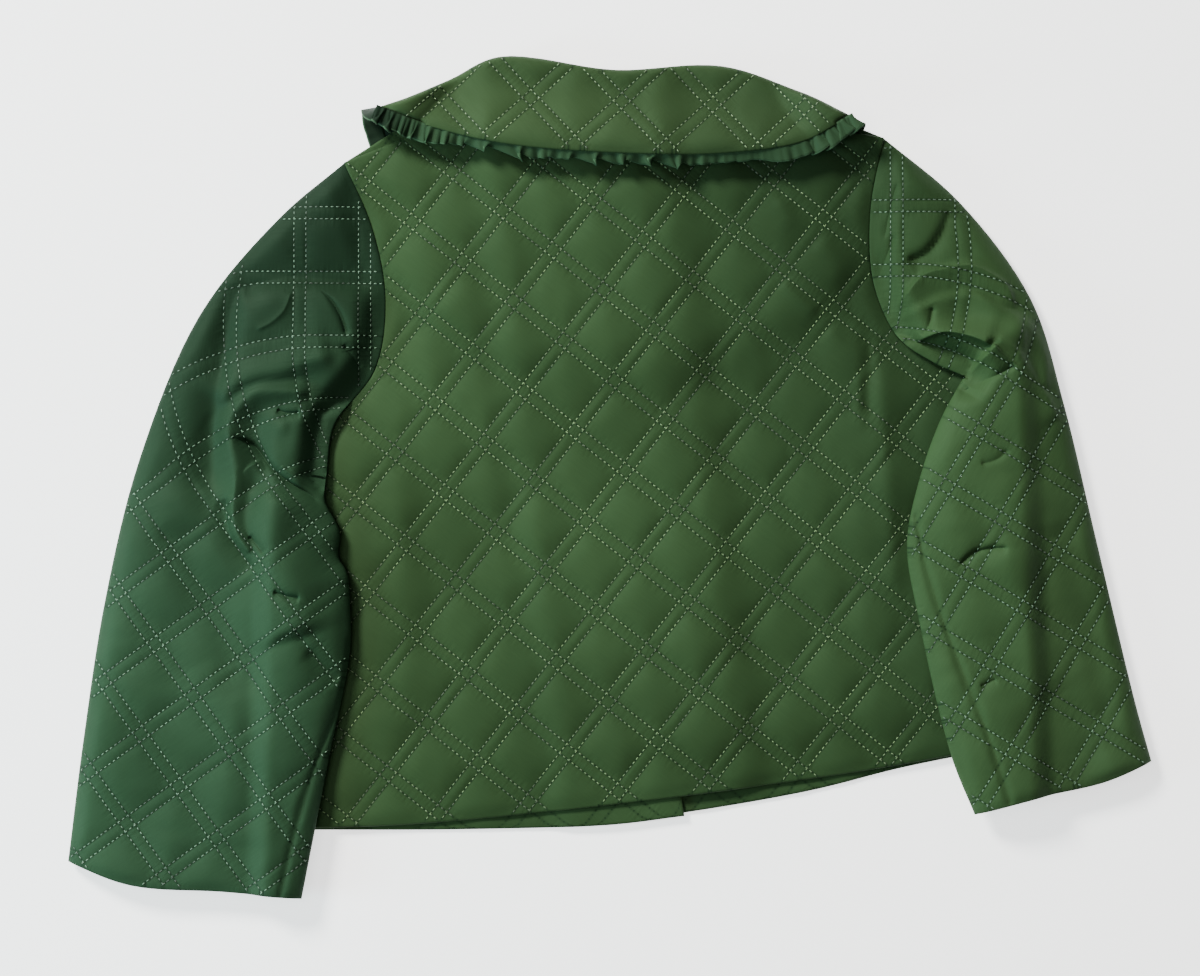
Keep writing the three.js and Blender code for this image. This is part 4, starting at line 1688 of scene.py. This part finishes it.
def right_sleeve() -> Sleeve:
    """The sleeve at the photograph's right, tucked under at the armpit.

    Returns:
        The sleeve, with its folds in order from its head to its cuff.
    """
    return Sleeve(
        side=Side.RIGHT,
        armhole=ARMHOLE_RIGHT,
        outer=((205, 239), (256, 184), (300, 106), (315, 26), (327, -79), (341, -201), (348, -248)),
        cuff=((348, -248), (309, -259), (259, -264), (211, -271)),
        inner=((211, -271), (199, -226), (187, -120), (185, -65), (200, -18), (222, 26), (243, 55)),
        arm=Arm((190, 150), -51.9, 24, 180, -31, (16, 3)),
        pit=PIT_RIGHT,
        side_to=(236, -224),
        inwards=-1,
        folds=(
            Fold(((246, 178), (238, 163), (226, 150), (211, 145)), -4.6, 7, 2.6, sharp=1.2),
            Fold(((199, 112), (221, 133), (240, 136), (257, 136), (271, 128), (282, 118), (286, 100)),
                 4.5, 2.4, 14, sharp=1.3),
            Fold(((200, 103), (220, 111), (241, 115), (259, 113), (274, 102), (288, 92), (290, 71)),
                 4, 3.2, 12, sharp=1.4),
            Fold(((264, 83), (277, 75), (289, 57), (300, 36), (309, 13)), 4.2, 3, 12, sharp=1.4),
            Fold(((289, 95), (298, 82), (305, 61), (301, 36)), 3.6, 3, 9, sharp=1.4),
            Fold(((280, 58), (268, 53), (251, 48)), -3.2, 1.8, 4, sharp=1.1),
            Fold(((225, 108), (221, 96), (214, 88)), -3, 1.6, 3, sharp=1.1),
            Fold(((210, 203), (204, 188), (196, 164)), -2.4, 1.6, 3, sharp=1.1),
            Fold(((203, 165), (197, 152), (190, 139)), -2.8, 1.6, 3, sharp=1.1),
            Fold(((222, -84), (232, -77), (243, -75), (258, -76)), -3.4, 1.8, 4, sharp=1.1),
            Fold(((268, -4), (258, -10), (246, -12)), -1.8, 2, 3, sharp=1.1),
            Fold(((226, -176), (238, -172)), -1.8, 2, 3, sharp=1.1),
            Fold(((270, -20), (262, -100), (280, -190)), 3, 22, 18),
            Fold(((300, -60), (312, -140), (318, -220)), -2.5, 12, 14),
        ),
        flaps=(
            Fold(((267, 75), (256, 65), (247, 56), (240, 48)), 10, 15, 1.8, sharp=1.3, fade=0.08),
            Fold(((209, 84), (230, 89), (248, 84), (264, 75)), 9, 13, 1.8, sharp=1.3),
            Fold(((222, 77), (237, 75), (248, 66)), -3.5, 6, 6, sharp=1.8),
        ),
        seam_line=((237, -264), (227, -214), (212, -156), (197, -86), (194, -44)),
        flat=(0.34, 0.56),
        area=0.14,
    )


@dataclass
class Collar:
    """The round collar: its fall on the back, its roll at the neck and its halves under the fronts."""

    roll: float = 0.8
    edge: float = 16.5
    depth: float = 58.0
    tip_from: float = 110.0
    tip_run: float = 50.0
    rim: float = 4.0
    half_rim: float = 1.6
    pinch: float = 9.0
    sewn_from: float = 2.2
    stand_half: float = 46.0
    stand_run: float = 25.0
    stand_from: float = 0.8
    stand_drop: float = 4.0
    layout: Layout = Layout(tuple(from_neck((5.6, -19)).tolist()), NECK_TURN)
    reach: tuple[int, int, int, int] = (-5, 5, -5, 5)
    half_reach: tuple[int, int, int, int] = (-6, 6, -6, 6)

    def __post_init__(self) -> None:
        """Draws the fall's outline."""
        self.top_line, self.seam = from_neck(smooth(COLLAR_TOP)), from_neck(smooth(COLLAR_SEAM))
        self.outline = np.vstack([self.seam, self.top_line[1:-1][::-1]])
        self.neck_seam = np.vstack([ARMHOLE_LEFT[0], from_neck(smooth(NECKLINE)), ARMHOLE_RIGHT[0]])

    def under(self, x: Array, y: Array) -> Array:
        """The fall's inner side, lifted off the back towards its edge.

        Args:
            x, y: the plan positions.

        Returns:
            The height at each.
        """
        u, v = to_neck(x, y)
        lifted = np.maximum(ease(-v / self.depth), ease((np.abs(u) - self.tip_from) / self.tip_run))
        return back_under(x, y) + WALL + QUILT_ROOM + mix(self.roll, self.edge, lifted)

    def top(self, x: Array, y: Array, a: Array, b: Array) -> Array:
        """The fall's outer side.

        Args:
            x, y: the plan positions.
            a, b: the stitch lines' coordinates there.

        Returns:
            The height at each.
        """
        edge = near(closed(self.outline), x, y).distance
        return self.under(x, y) + WALL + QUILTING.height(a, b) * ease(edge / self.pinch)

    def bottom(self, x: Array, y: Array, a: Array, b: Array) -> Array:
        """The fall's inner side, carried down as the stand wherever no back panel lies under it.

        Args:
            x, y: the plan positions.
            a, b: not used.

        Returns:
            The height at each.
        """
        u, _ = to_neck(x, y)
        lift = COLLAR_LIFT * (1 - ease((np.abs(u) - self.stand_half) / self.stand_run))
        at = near(self.neck_seam, x, y)
        past_seam = np.where(at.left, at.distance, 0.0)
        share = ease((past_seam - self.stand_from) / self.stand_drop)
        return mix(self.under(x, y), FRONT_WALL + SEAM_GAP + lift, share)

    def build(self) -> bpy.types.Object:
        """Cuts and drapes the fall.

        Returns:
            The fall.
        """
        cloth = Cloth(self.layout, QUILTING, self.reach)
        cloth.cut(self.outline, self.rim)
        cloth.roll_edge(self.rim, 4)
        cloth.add_underside()
        cloth.drape(self.top, self.bottom)
        return cloth.finish("collar_fall")

    def sew(self) -> bpy.types.Object:
        """Sews the fall's quilting.

        Returns:
            One object with all its stitches.
        """
        def keep(x: Array, y: Array) -> Array:
            """Where the fall is sewn: inside its edge."""
            edge = near(closed(self.outline), x, y).distance
            return inside(self.outline, x, y) & (edge > self.sewn_from)
        return Stitches(seed=40).follow("collar_stitching", QUILTING, self.layout, self.reach, self.top, keep)

    def build_half(self, side: Side) -> bpy.types.Object:
        """Cuts one of the collar's front halves, which lies flat under its front.

        Args:
            side: which half.

        Returns:
            The half.
        """
        turned = 1 if side is Side.RIGHT else -1
        half = np.vstack([ellipse(FRONT_COLLAR_OUTER, 190, 262), ellipse(FRONT_COLLAR_INNER, 258, 190)])
        outline = from_neck(half * np.array([-turned, 1]))
        cloth = Cloth(self.layout, PLAIN_QUILTING, self.half_reach)
        cloth.cut(outline, self.half_rim)
        cloth.roll_edge(self.half_rim, 2)
        cloth.add_underside()
        cloth.drape(lambda x, y, a, b: 0 * x + FRONT_WALL, lambda x, y, a, b: 0 * x)
        return cloth.finish(f"collar_front_{side.value}")


@dataclass(frozen=True)
class Uneven:
    """A value that differs from gather to gather: its middle, spread and limits, and its noise."""

    middle: float
    spread: float
    least: float
    most: float
    pace: float
    shift: float = 0.0
    row: float = 0.0

    def along(self, noise: Noise, wave: Array) -> Array:
        """The value at each place.

        Args:
            noise: what it is drawn from.
            wave: the places, counted in waves.

        Returns:
            The values, between the limits.
        """
        drawn = noise.at(wave * self.pace + self.shift, 0 * wave + self.row)
        return np.clip(self.middle + self.spread * drawn, self.least, self.most)


@dataclass(frozen=True)
class Stretch:
    """A stretch of the collar's edge, in the neck's frame, and its gathers."""

    line: Array
    side: int
    swing: float
    waves: float
    on_fall: bool


@dataclass(frozen=True)
class Station:
    """A place on the ruffle's path.

    It holds the strip's root, the way out from there, how far the gathers swing, how far the
    strip hangs (0 to 1) and sinks, the waves to the next station and those before this one, and
    how far out from the root the strip starts.
    """

    root: Array
    out: Array
    swing: float
    hang: float
    sink: float
    pace: float
    wave: float = 0.0
    reach: float = 0.0


@dataclass
class Ruffle:
    """A gathered strip sewn round the collar's whole outer edge."""

    collar: Collar
    wide: float = 12.0
    thick: float = 1.0
    back_waves: float = 25.0
    front_waves: float = 13.0
    back_swing: float = 3.4
    front_swing: float = 0.9
    front_rest: float = 1.2
    hang_to: float = 104.0
    hang_run: float = 30.0
    hung_reach: float = 7.0
    least_drop: float = 1.0
    drop: float = 3.4
    tuck: float = 2.0
    lean_turns: tuple[float, float] = (25.0, 60.0)
    rows_per_wave: int = 18
    climb: float = 1.5
    across: int = 7
    early: Uneven = Uneven(0.0, 0.6, -1.0, 1.0, 0.5)
    crimp: Uneven = Uneven(0.62, 0.85, 0.12, 1.35, 0.55, 9)
    pinned: Uneven = Uneven(0.35, 1.6, 0.15, 1.5, 0.7, 21, 5)
    width: Uneven = Uneven(1.0, 0.12, 0.5, 1.5, 1.3, 0, 3)

    def stretches(self) -> list[Stretch]:
        """Divides its path.

        Returns:
            The three stretches: left front, back and right front.
        """
        return [
            Stretch(ellipse(FRONT_COLLAR_OUTER, 262, 190, 16), 1, self.front_swing, self.front_waves, False),
            Stretch(smooth(COLLAR_SEAM), -1, self.back_swing, self.back_waves, True),
            Stretch(ellipse(FRONT_COLLAR_OUTER, 350, 278, 16), 1, self.front_swing, self.front_waves, False),
        ]

    def coarse(self) -> list[Station]:
        """Reads the strip's settings at the path's own points.

        Returns:
            A station for each point.
        """
        stations = []
        for part in self.stretches():
            line = part.line
            way = np.gradient(line, axis=0)
            way /= np.linalg.norm(way, axis=1)[:, None]
            out = part.side * np.stack([-way[:, 1], way[:, 0]], axis=1)
            xy = from_neck(line)
            rest = self.front_rest + self.front_swing
            z = self.collar.under(xy[:, 0], xy[:, 1]) if part.on_fall else np.full(len(line), rest)
            hang = (1 - ease((np.abs(line[:, 0]) - self.hang_to) / self.hang_run)) * part.on_fall
            for (u, v), height, (ox, oy), hung in zip(line, z, out, hang):
                stations.append(Station(
                    root=np.array([u, v, height]), out=np.array([ox, oy, 0.0]), swing=part.swing, hang=hung,
                    sink=mix(self.least_drop, self.drop, hung) * part.on_fall, pace=part.waves / len(line),
                ))
        return stations

    def path(self) -> list[Station]:
        """Cuts the path finely enough for its gathers.

        Returns:
            The stations, in order. Round a shoulder, where the path climbs, the strip turns at
            once and stands out by the wall.
        """
        coarse, stations, wave = self.coarse(), [], 0.0
        for a, b in zip(coarse, coarse[1:]):
            waves = (a.pace + b.pace) / 2
            rise = abs(b.root[2] - a.root[2])
            shoulder, up = rise > WALL, b.root[2] > a.root[2]
            count = max(3, round(waves * self.rows_per_wave), round(rise / self.climb))
            for f in np.arange(count) / count:
                turned = f**4 if shoulder and up else 1 - (1 - f) ** (4 if shoulder else 1)
                out = mix(a.out, b.out, turned)
                stations.append(Station(
                    root=mix(a.root, b.root, f), out=out / np.linalg.norm(out),
                    swing=mix(a.swing, b.swing, f), hang=mix(a.hang, b.hang, f), sink=mix(a.sink, b.sink, f),
                    pace=waves, wave=wave + waves * f,
                    reach=2 * SEAM_GAP + (math.sin(math.pi * f) * WALL if shoulder else 0),
                ))
            wave += waves
        return stations

    def gathered(self, path: Sequence[Station], i: Array, r: Array) -> Array:
        """Lays the gathers, each with its own swing, lean and way about.

        Args:
            path: the stations.
            i: each vertex's station.
            r: how far across the strip it is, 0 at the root and 1 at the hem.

        Returns:
            The vertices' places, in the neck's frame.
        """
        root, out = np.array([s.root for s in path]), np.array([s.out for s in path])
        along = np.gradient(root, axis=0)
        along /= np.linalg.norm(along, axis=1)[:, None]
        face = np.cross(along, out)
        face /= np.linalg.norm(face, axis=1)[:, None]
        most = np.array([s.swing for s in path])[i]
        hang = np.array([s.hang for s in path])[i]
        sink = np.array([s.sink for s in path])[i]
        wave = np.array([s.wave for s in path])[i]
        start = np.array([s.reach for s in path])[i]
        noise = Noise(77)
        phase = 2 * math.pi * (wave + self.early.along(noise, wave))
        free = (0.2 + 0.8 * r) * (self.crimp.along(noise, wave) * most)
        pinned = self.pinned.along(noise, wave)
        leans = 1 - 2 * ease((root[i][:, 0] - self.lean_turns[0]) / self.lean_turns[1])

        # Each motion is a wave and a weaker, faster one, so that no gather is an even curve
        swing = free * (np.sin(phase + 1.3) * mix(0.45, 0.4, hang) + 0.3 * np.sin(2.3 * phase + 2))
        lean = leans * free * (1.4 * pinned * np.sin(phase) + 0.2 * np.sin(2 * phase + 1)) * r
        about = free * (np.sin(phase - 0.35) * pinned + 0.25 * np.cos(2 * phase)) * mix(0.3, 0.75, hang) * r
        wide = mix(self.wide, self.hung_reach, hang) * self.width.along(noise, wave)
        start = start - self.tuck
        reach = start + (wide - start) * r + about
        place = root[i] + out[i] * reach[:, None] + face[i] * swing[:, None] + along[i] * lean[:, None]
        place[:, 2] += self.thick / 2 - sink * r**0.8
        return place

    def build(self) -> bpy.types.Object:
        """Makes the strip from a grid, one column a station of its path.

        Returns:
            The ruffle, one layer that a modifier gives its wall.
        """
        path = self.path()
        bm = bmesh.new()
        bmesh.ops.create_grid(bm, x_segments=len(path) - 1, y_segments=self.across, size=1.0)
        uv = bm.loops.layers.uv.new("quilt")
        i = np.array([round((v.co.x + 1) / 2 * (len(path) - 1)) for v in bm.verts])
        r = np.array([(v.co.y + 1) / 2 for v in bm.verts])
        place = self.gathered(path, i, r)
        plan = from_neck(place[:, :2])
        level = np.maximum(place[:, 2], self.thick / 2)
        for v, (x, y), z in zip(bm.verts, plan, level):
            v.co = ((x + ORIGIN[0]) / MM_PER_METRE, (y + ORIGIN[1]) / MM_PER_METRE, z / MM_PER_METRE)
        steps = np.linalg.norm(np.diff([s.root for s in path], axis=0), axis=1)
        arc = np.concatenate([[0], np.cumsum(steps)])
        bm.verts.index_update()
        for face in bm.faces:
            face.smooth = True
            for loop in face.loops:
                k = loop.vert.index
                loop[uv].uv = (arc[i[k]] / MM_PER_METRE, r[k] * self.wide / MM_PER_METRE)
        mesh = bpy.data.meshes.new("collar_ruffle")
        bm.to_mesh(mesh)
        bm.free()
        piece = linked("collar_ruffle", mesh)
        wall = piece.modifiers.new("wall", "SOLIDIFY")
        wall.thickness = self.thick / MM_PER_METRE
        wall.offset = 0
        return piece


@dataclass(frozen=True)
class Lamp:
    """A soft round light that looks at the middle of the jacket."""

    name: str
    place: tuple[float, float, float]
    size: float
    power: float
    colour: tuple[float, float, float]

    def hang(self) -> None:
        """Puts the light in the scene."""
        lamp = bpy.data.lights.new(self.name, "AREA")
        lamp.shape = "DISK"
        lamp.size = self.size
        lamp.energy = self.power
        lamp.color = self.colour
        piece = linked(self.name, lamp)
        piece.location = self.place
        piece.rotation_euler = Vector(self.place).to_track_quat("Z", "Y").to_euler()


@dataclass(frozen=True)
class Studio:
    """The pale floor, the soft lights and the camera straight above."""

    distance: float = 3.0
    lens: float = 120.0
    sensor: float = 36.0
    centre: tuple[float, float] = (0.0218, -0.0257)
    turn: float = math.radians(-6.9)
    ambient: float = 0.21
    floor_half: float = 4.0
    floor_drop: float = 0.0006
    floor_greys: tuple[float, float] = (0.86, 0.89)
    floor_glow: float = 1.5
    lamps: tuple[Lamp, ...] = (
        Lamp("window", (-2.0, 2.9, 2.5), 1.2, 480, (1.0, 1.0, 0.95)),
        Lamp("cool side", (-2.0, -0.2, 0.65), 0.7, 52, (0.6, 0.92, 1.0)),
        Lamp("overhead", (-0.7, 0.1, 2.5), 1.4, 24, (1.0, 1.0, 0.96)),
    )

    def floor(self) -> None:
        """Lays the floor."""
        bm = bmesh.new()
        bmesh.ops.create_grid(bm, x_segments=1, y_segments=1, size=self.floor_half)
        bmesh.ops.translate(bm, verts=bm.verts[:], vec=(0, 0, -self.floor_drop))
        mesh = bpy.data.meshes.new("floor")
        bm.to_mesh(mesh)
        bm.free()
        piece = linked("floor", mesh)
        material, g = new_material("pale floor")
        grain = g.noise(g.add("ShaderNodeTexCoord").outputs["Object"], 3.0, 1.0)
        greys = [(grey, grey, grey, 1) for grey in self.floor_greys]
        g.surface({
            "Base Color": g.blend(grain, *greys), "Roughness": 0.9,
            "Emission Color": (1, 1, 1, 1), "Emission Strength": self.floor_glow,
        })
        mesh.materials.append(material)

    def surroundings(self) -> None:
        """Lights the scene evenly from all round."""
        world = bpy.data.worlds.new("studio")
        world.use_nodes = True
        background = world.node_tree.nodes["Background"]
        background.inputs[0].default_value = (1.0, 1.0, 1.0, 1.0)
        background.inputs[1].default_value = self.ambient
        bpy.context.scene.world = world

    def camera(self) -> None:
        """Hangs the camera, turned as the photographed garment is."""
        data = bpy.data.cameras.new("camera")
        data.lens = self.lens
        data.sensor_width = self.sensor
        camera = linked("camera", data)
        camera.location = (*self.centre, self.distance)
        camera.rotation_euler = (0, 0, self.turn)
        bpy.context.scene.camera = camera

    def build(self) -> None:
        """Sets up the whole studio."""
        self.floor()
        for lamp in self.lamps:
            lamp.hang()
        self.surroundings()
        self.camera()


# Each cloth's painted shade darkens it towards one end: the back's right side, the sleeves' upper parts, the
# collar's right end and the ruffle's left tip
SHELL = Shades(
    tone(38, 57, 32), tone(45, 66, 39), tone(15, 30, 15), tone(84, 108, 66),
    painted_shade_from=(0.27, 0.1), painted_shade_to=(0.03, 0.02), painted_shade=0.42,
)
# The left sleeve is the same green cloth, tinted darker and bluer: that tint is painted cool light and shade,
# which the cool side lamp also gives
LEFT_SLEEVE = Shades(
    tone(33, 55, 36), tone(40, 64, 44), tone(10, 23, 14), tone(74, 104, 80),
    painted_shade_from=(-0.38, 0.12), painted_shade_to=(-0.25, -0.12), painted_shade=0.8,
)
RIGHT_SLEEVE = Shades(
    tone(42, 63, 36), tone(49, 71, 43), tone(14, 30, 14), tone(84, 110, 70),
    painted_shade_from=(0.25, 0.2), painted_shade_to=(0.33, 0.07), painted_shade=0.55,
)
COLLAR = Shades(
    tone(40, 58, 33), tone(48, 68, 41), tone(16, 30, 15), tone(90, 114, 74),
    painted_shade_from=(0.2, 0.2), painted_shade_to=(-0.05, 0.25), painted_shade=0.22,
)
# Painted shade: the collar's front halves are coloured near black, as the deep hollow under the fall where
# they show
SHADED_COLLAR_FRONT = Shades(tone(14, 26, 19), tone(18, 32, 23), tone(6, 14, 9), tone(40, 60, 44))
RUFFLE = Shades(
    tone(34, 54, 35), tone(42, 64, 43), tone(6, 14, 9), tone(62, 88, 64),
    painted_shade_from=(-0.115, 0.265), painted_shade_to=(-0.07, 0.25), painted_shade=0.85,
)


def main() -> None:
    """Builds the jacket piece by piece and reports each."""
    logging.basicConfig(level=logging.INFO, format="%(name)s: %(message)s")
    Studio().build()
    finish, thread_finish = ClothFinish(stitched_group(), weave_group()), ThreadFinish()
    body_cloth = finish.make("body cloth", SHELL)
    sleeve_cloth = {
        Side.LEFT: finish.make("left sleeve cloth", LEFT_SLEEVE),
        Side.RIGHT: finish.make("right sleeve cloth", RIGHT_SLEEVE),
    }
    collar_cloth = finish.make("collar cloth", COLLAR)
    shaded_front_cloth = finish.make("shaded collar front cloth", SHADED_COLLAR_FRONT)
    ruffle_cloth = finish.make("ruffle cloth", RUFFLE, quilted=False, hem=0.011)
    body_thread = thread_finish.make("body thread", SHELL.thread)
    sleeve_thread = thread_finish.make("sleeve thread", LEFT_SLEEVE.thread)
    collar_thread = thread_finish.make("collar thread", COLLAR.thread)

    body = Body()
    back = dress(body.build_back(), body_cloth, "body_cloth", "back")
    back_thread = dress(body.sew_back(), body_thread, "body_cloth")
    front_right = dress(body.build_front(Side.RIGHT), body_cloth, "body_cloth", "front_right")
    front_left = dress(body.build_front(Side.LEFT), body_cloth, "body_cloth", "front_left")

    for sleeve in (left_sleeve(), right_sleeve()):
        tube = dress(sleeve.build(), sleeve_cloth[sleeve.side], "sleeve_cloth", f"sleeve_{sleeve.side.value}")
        thread = dress(sleeve.sew(), sleeve_thread, "sleeve_cloth")

    collar = Collar()
    fall = dress(collar.build(), collar_cloth, "collar_cloth", "collar")
    fall_thread = dress(collar.sew(), collar_thread, "collar_cloth")
    halves = [dress(collar.build_half(side), shaded_front_cloth, "collar_cloth") for side in Side]
    ruffle = dress(Ruffle(collar).build(), ruffle_cloth, "collar_cloth", "ruffle")


if __name__ == "__main__":
    main()
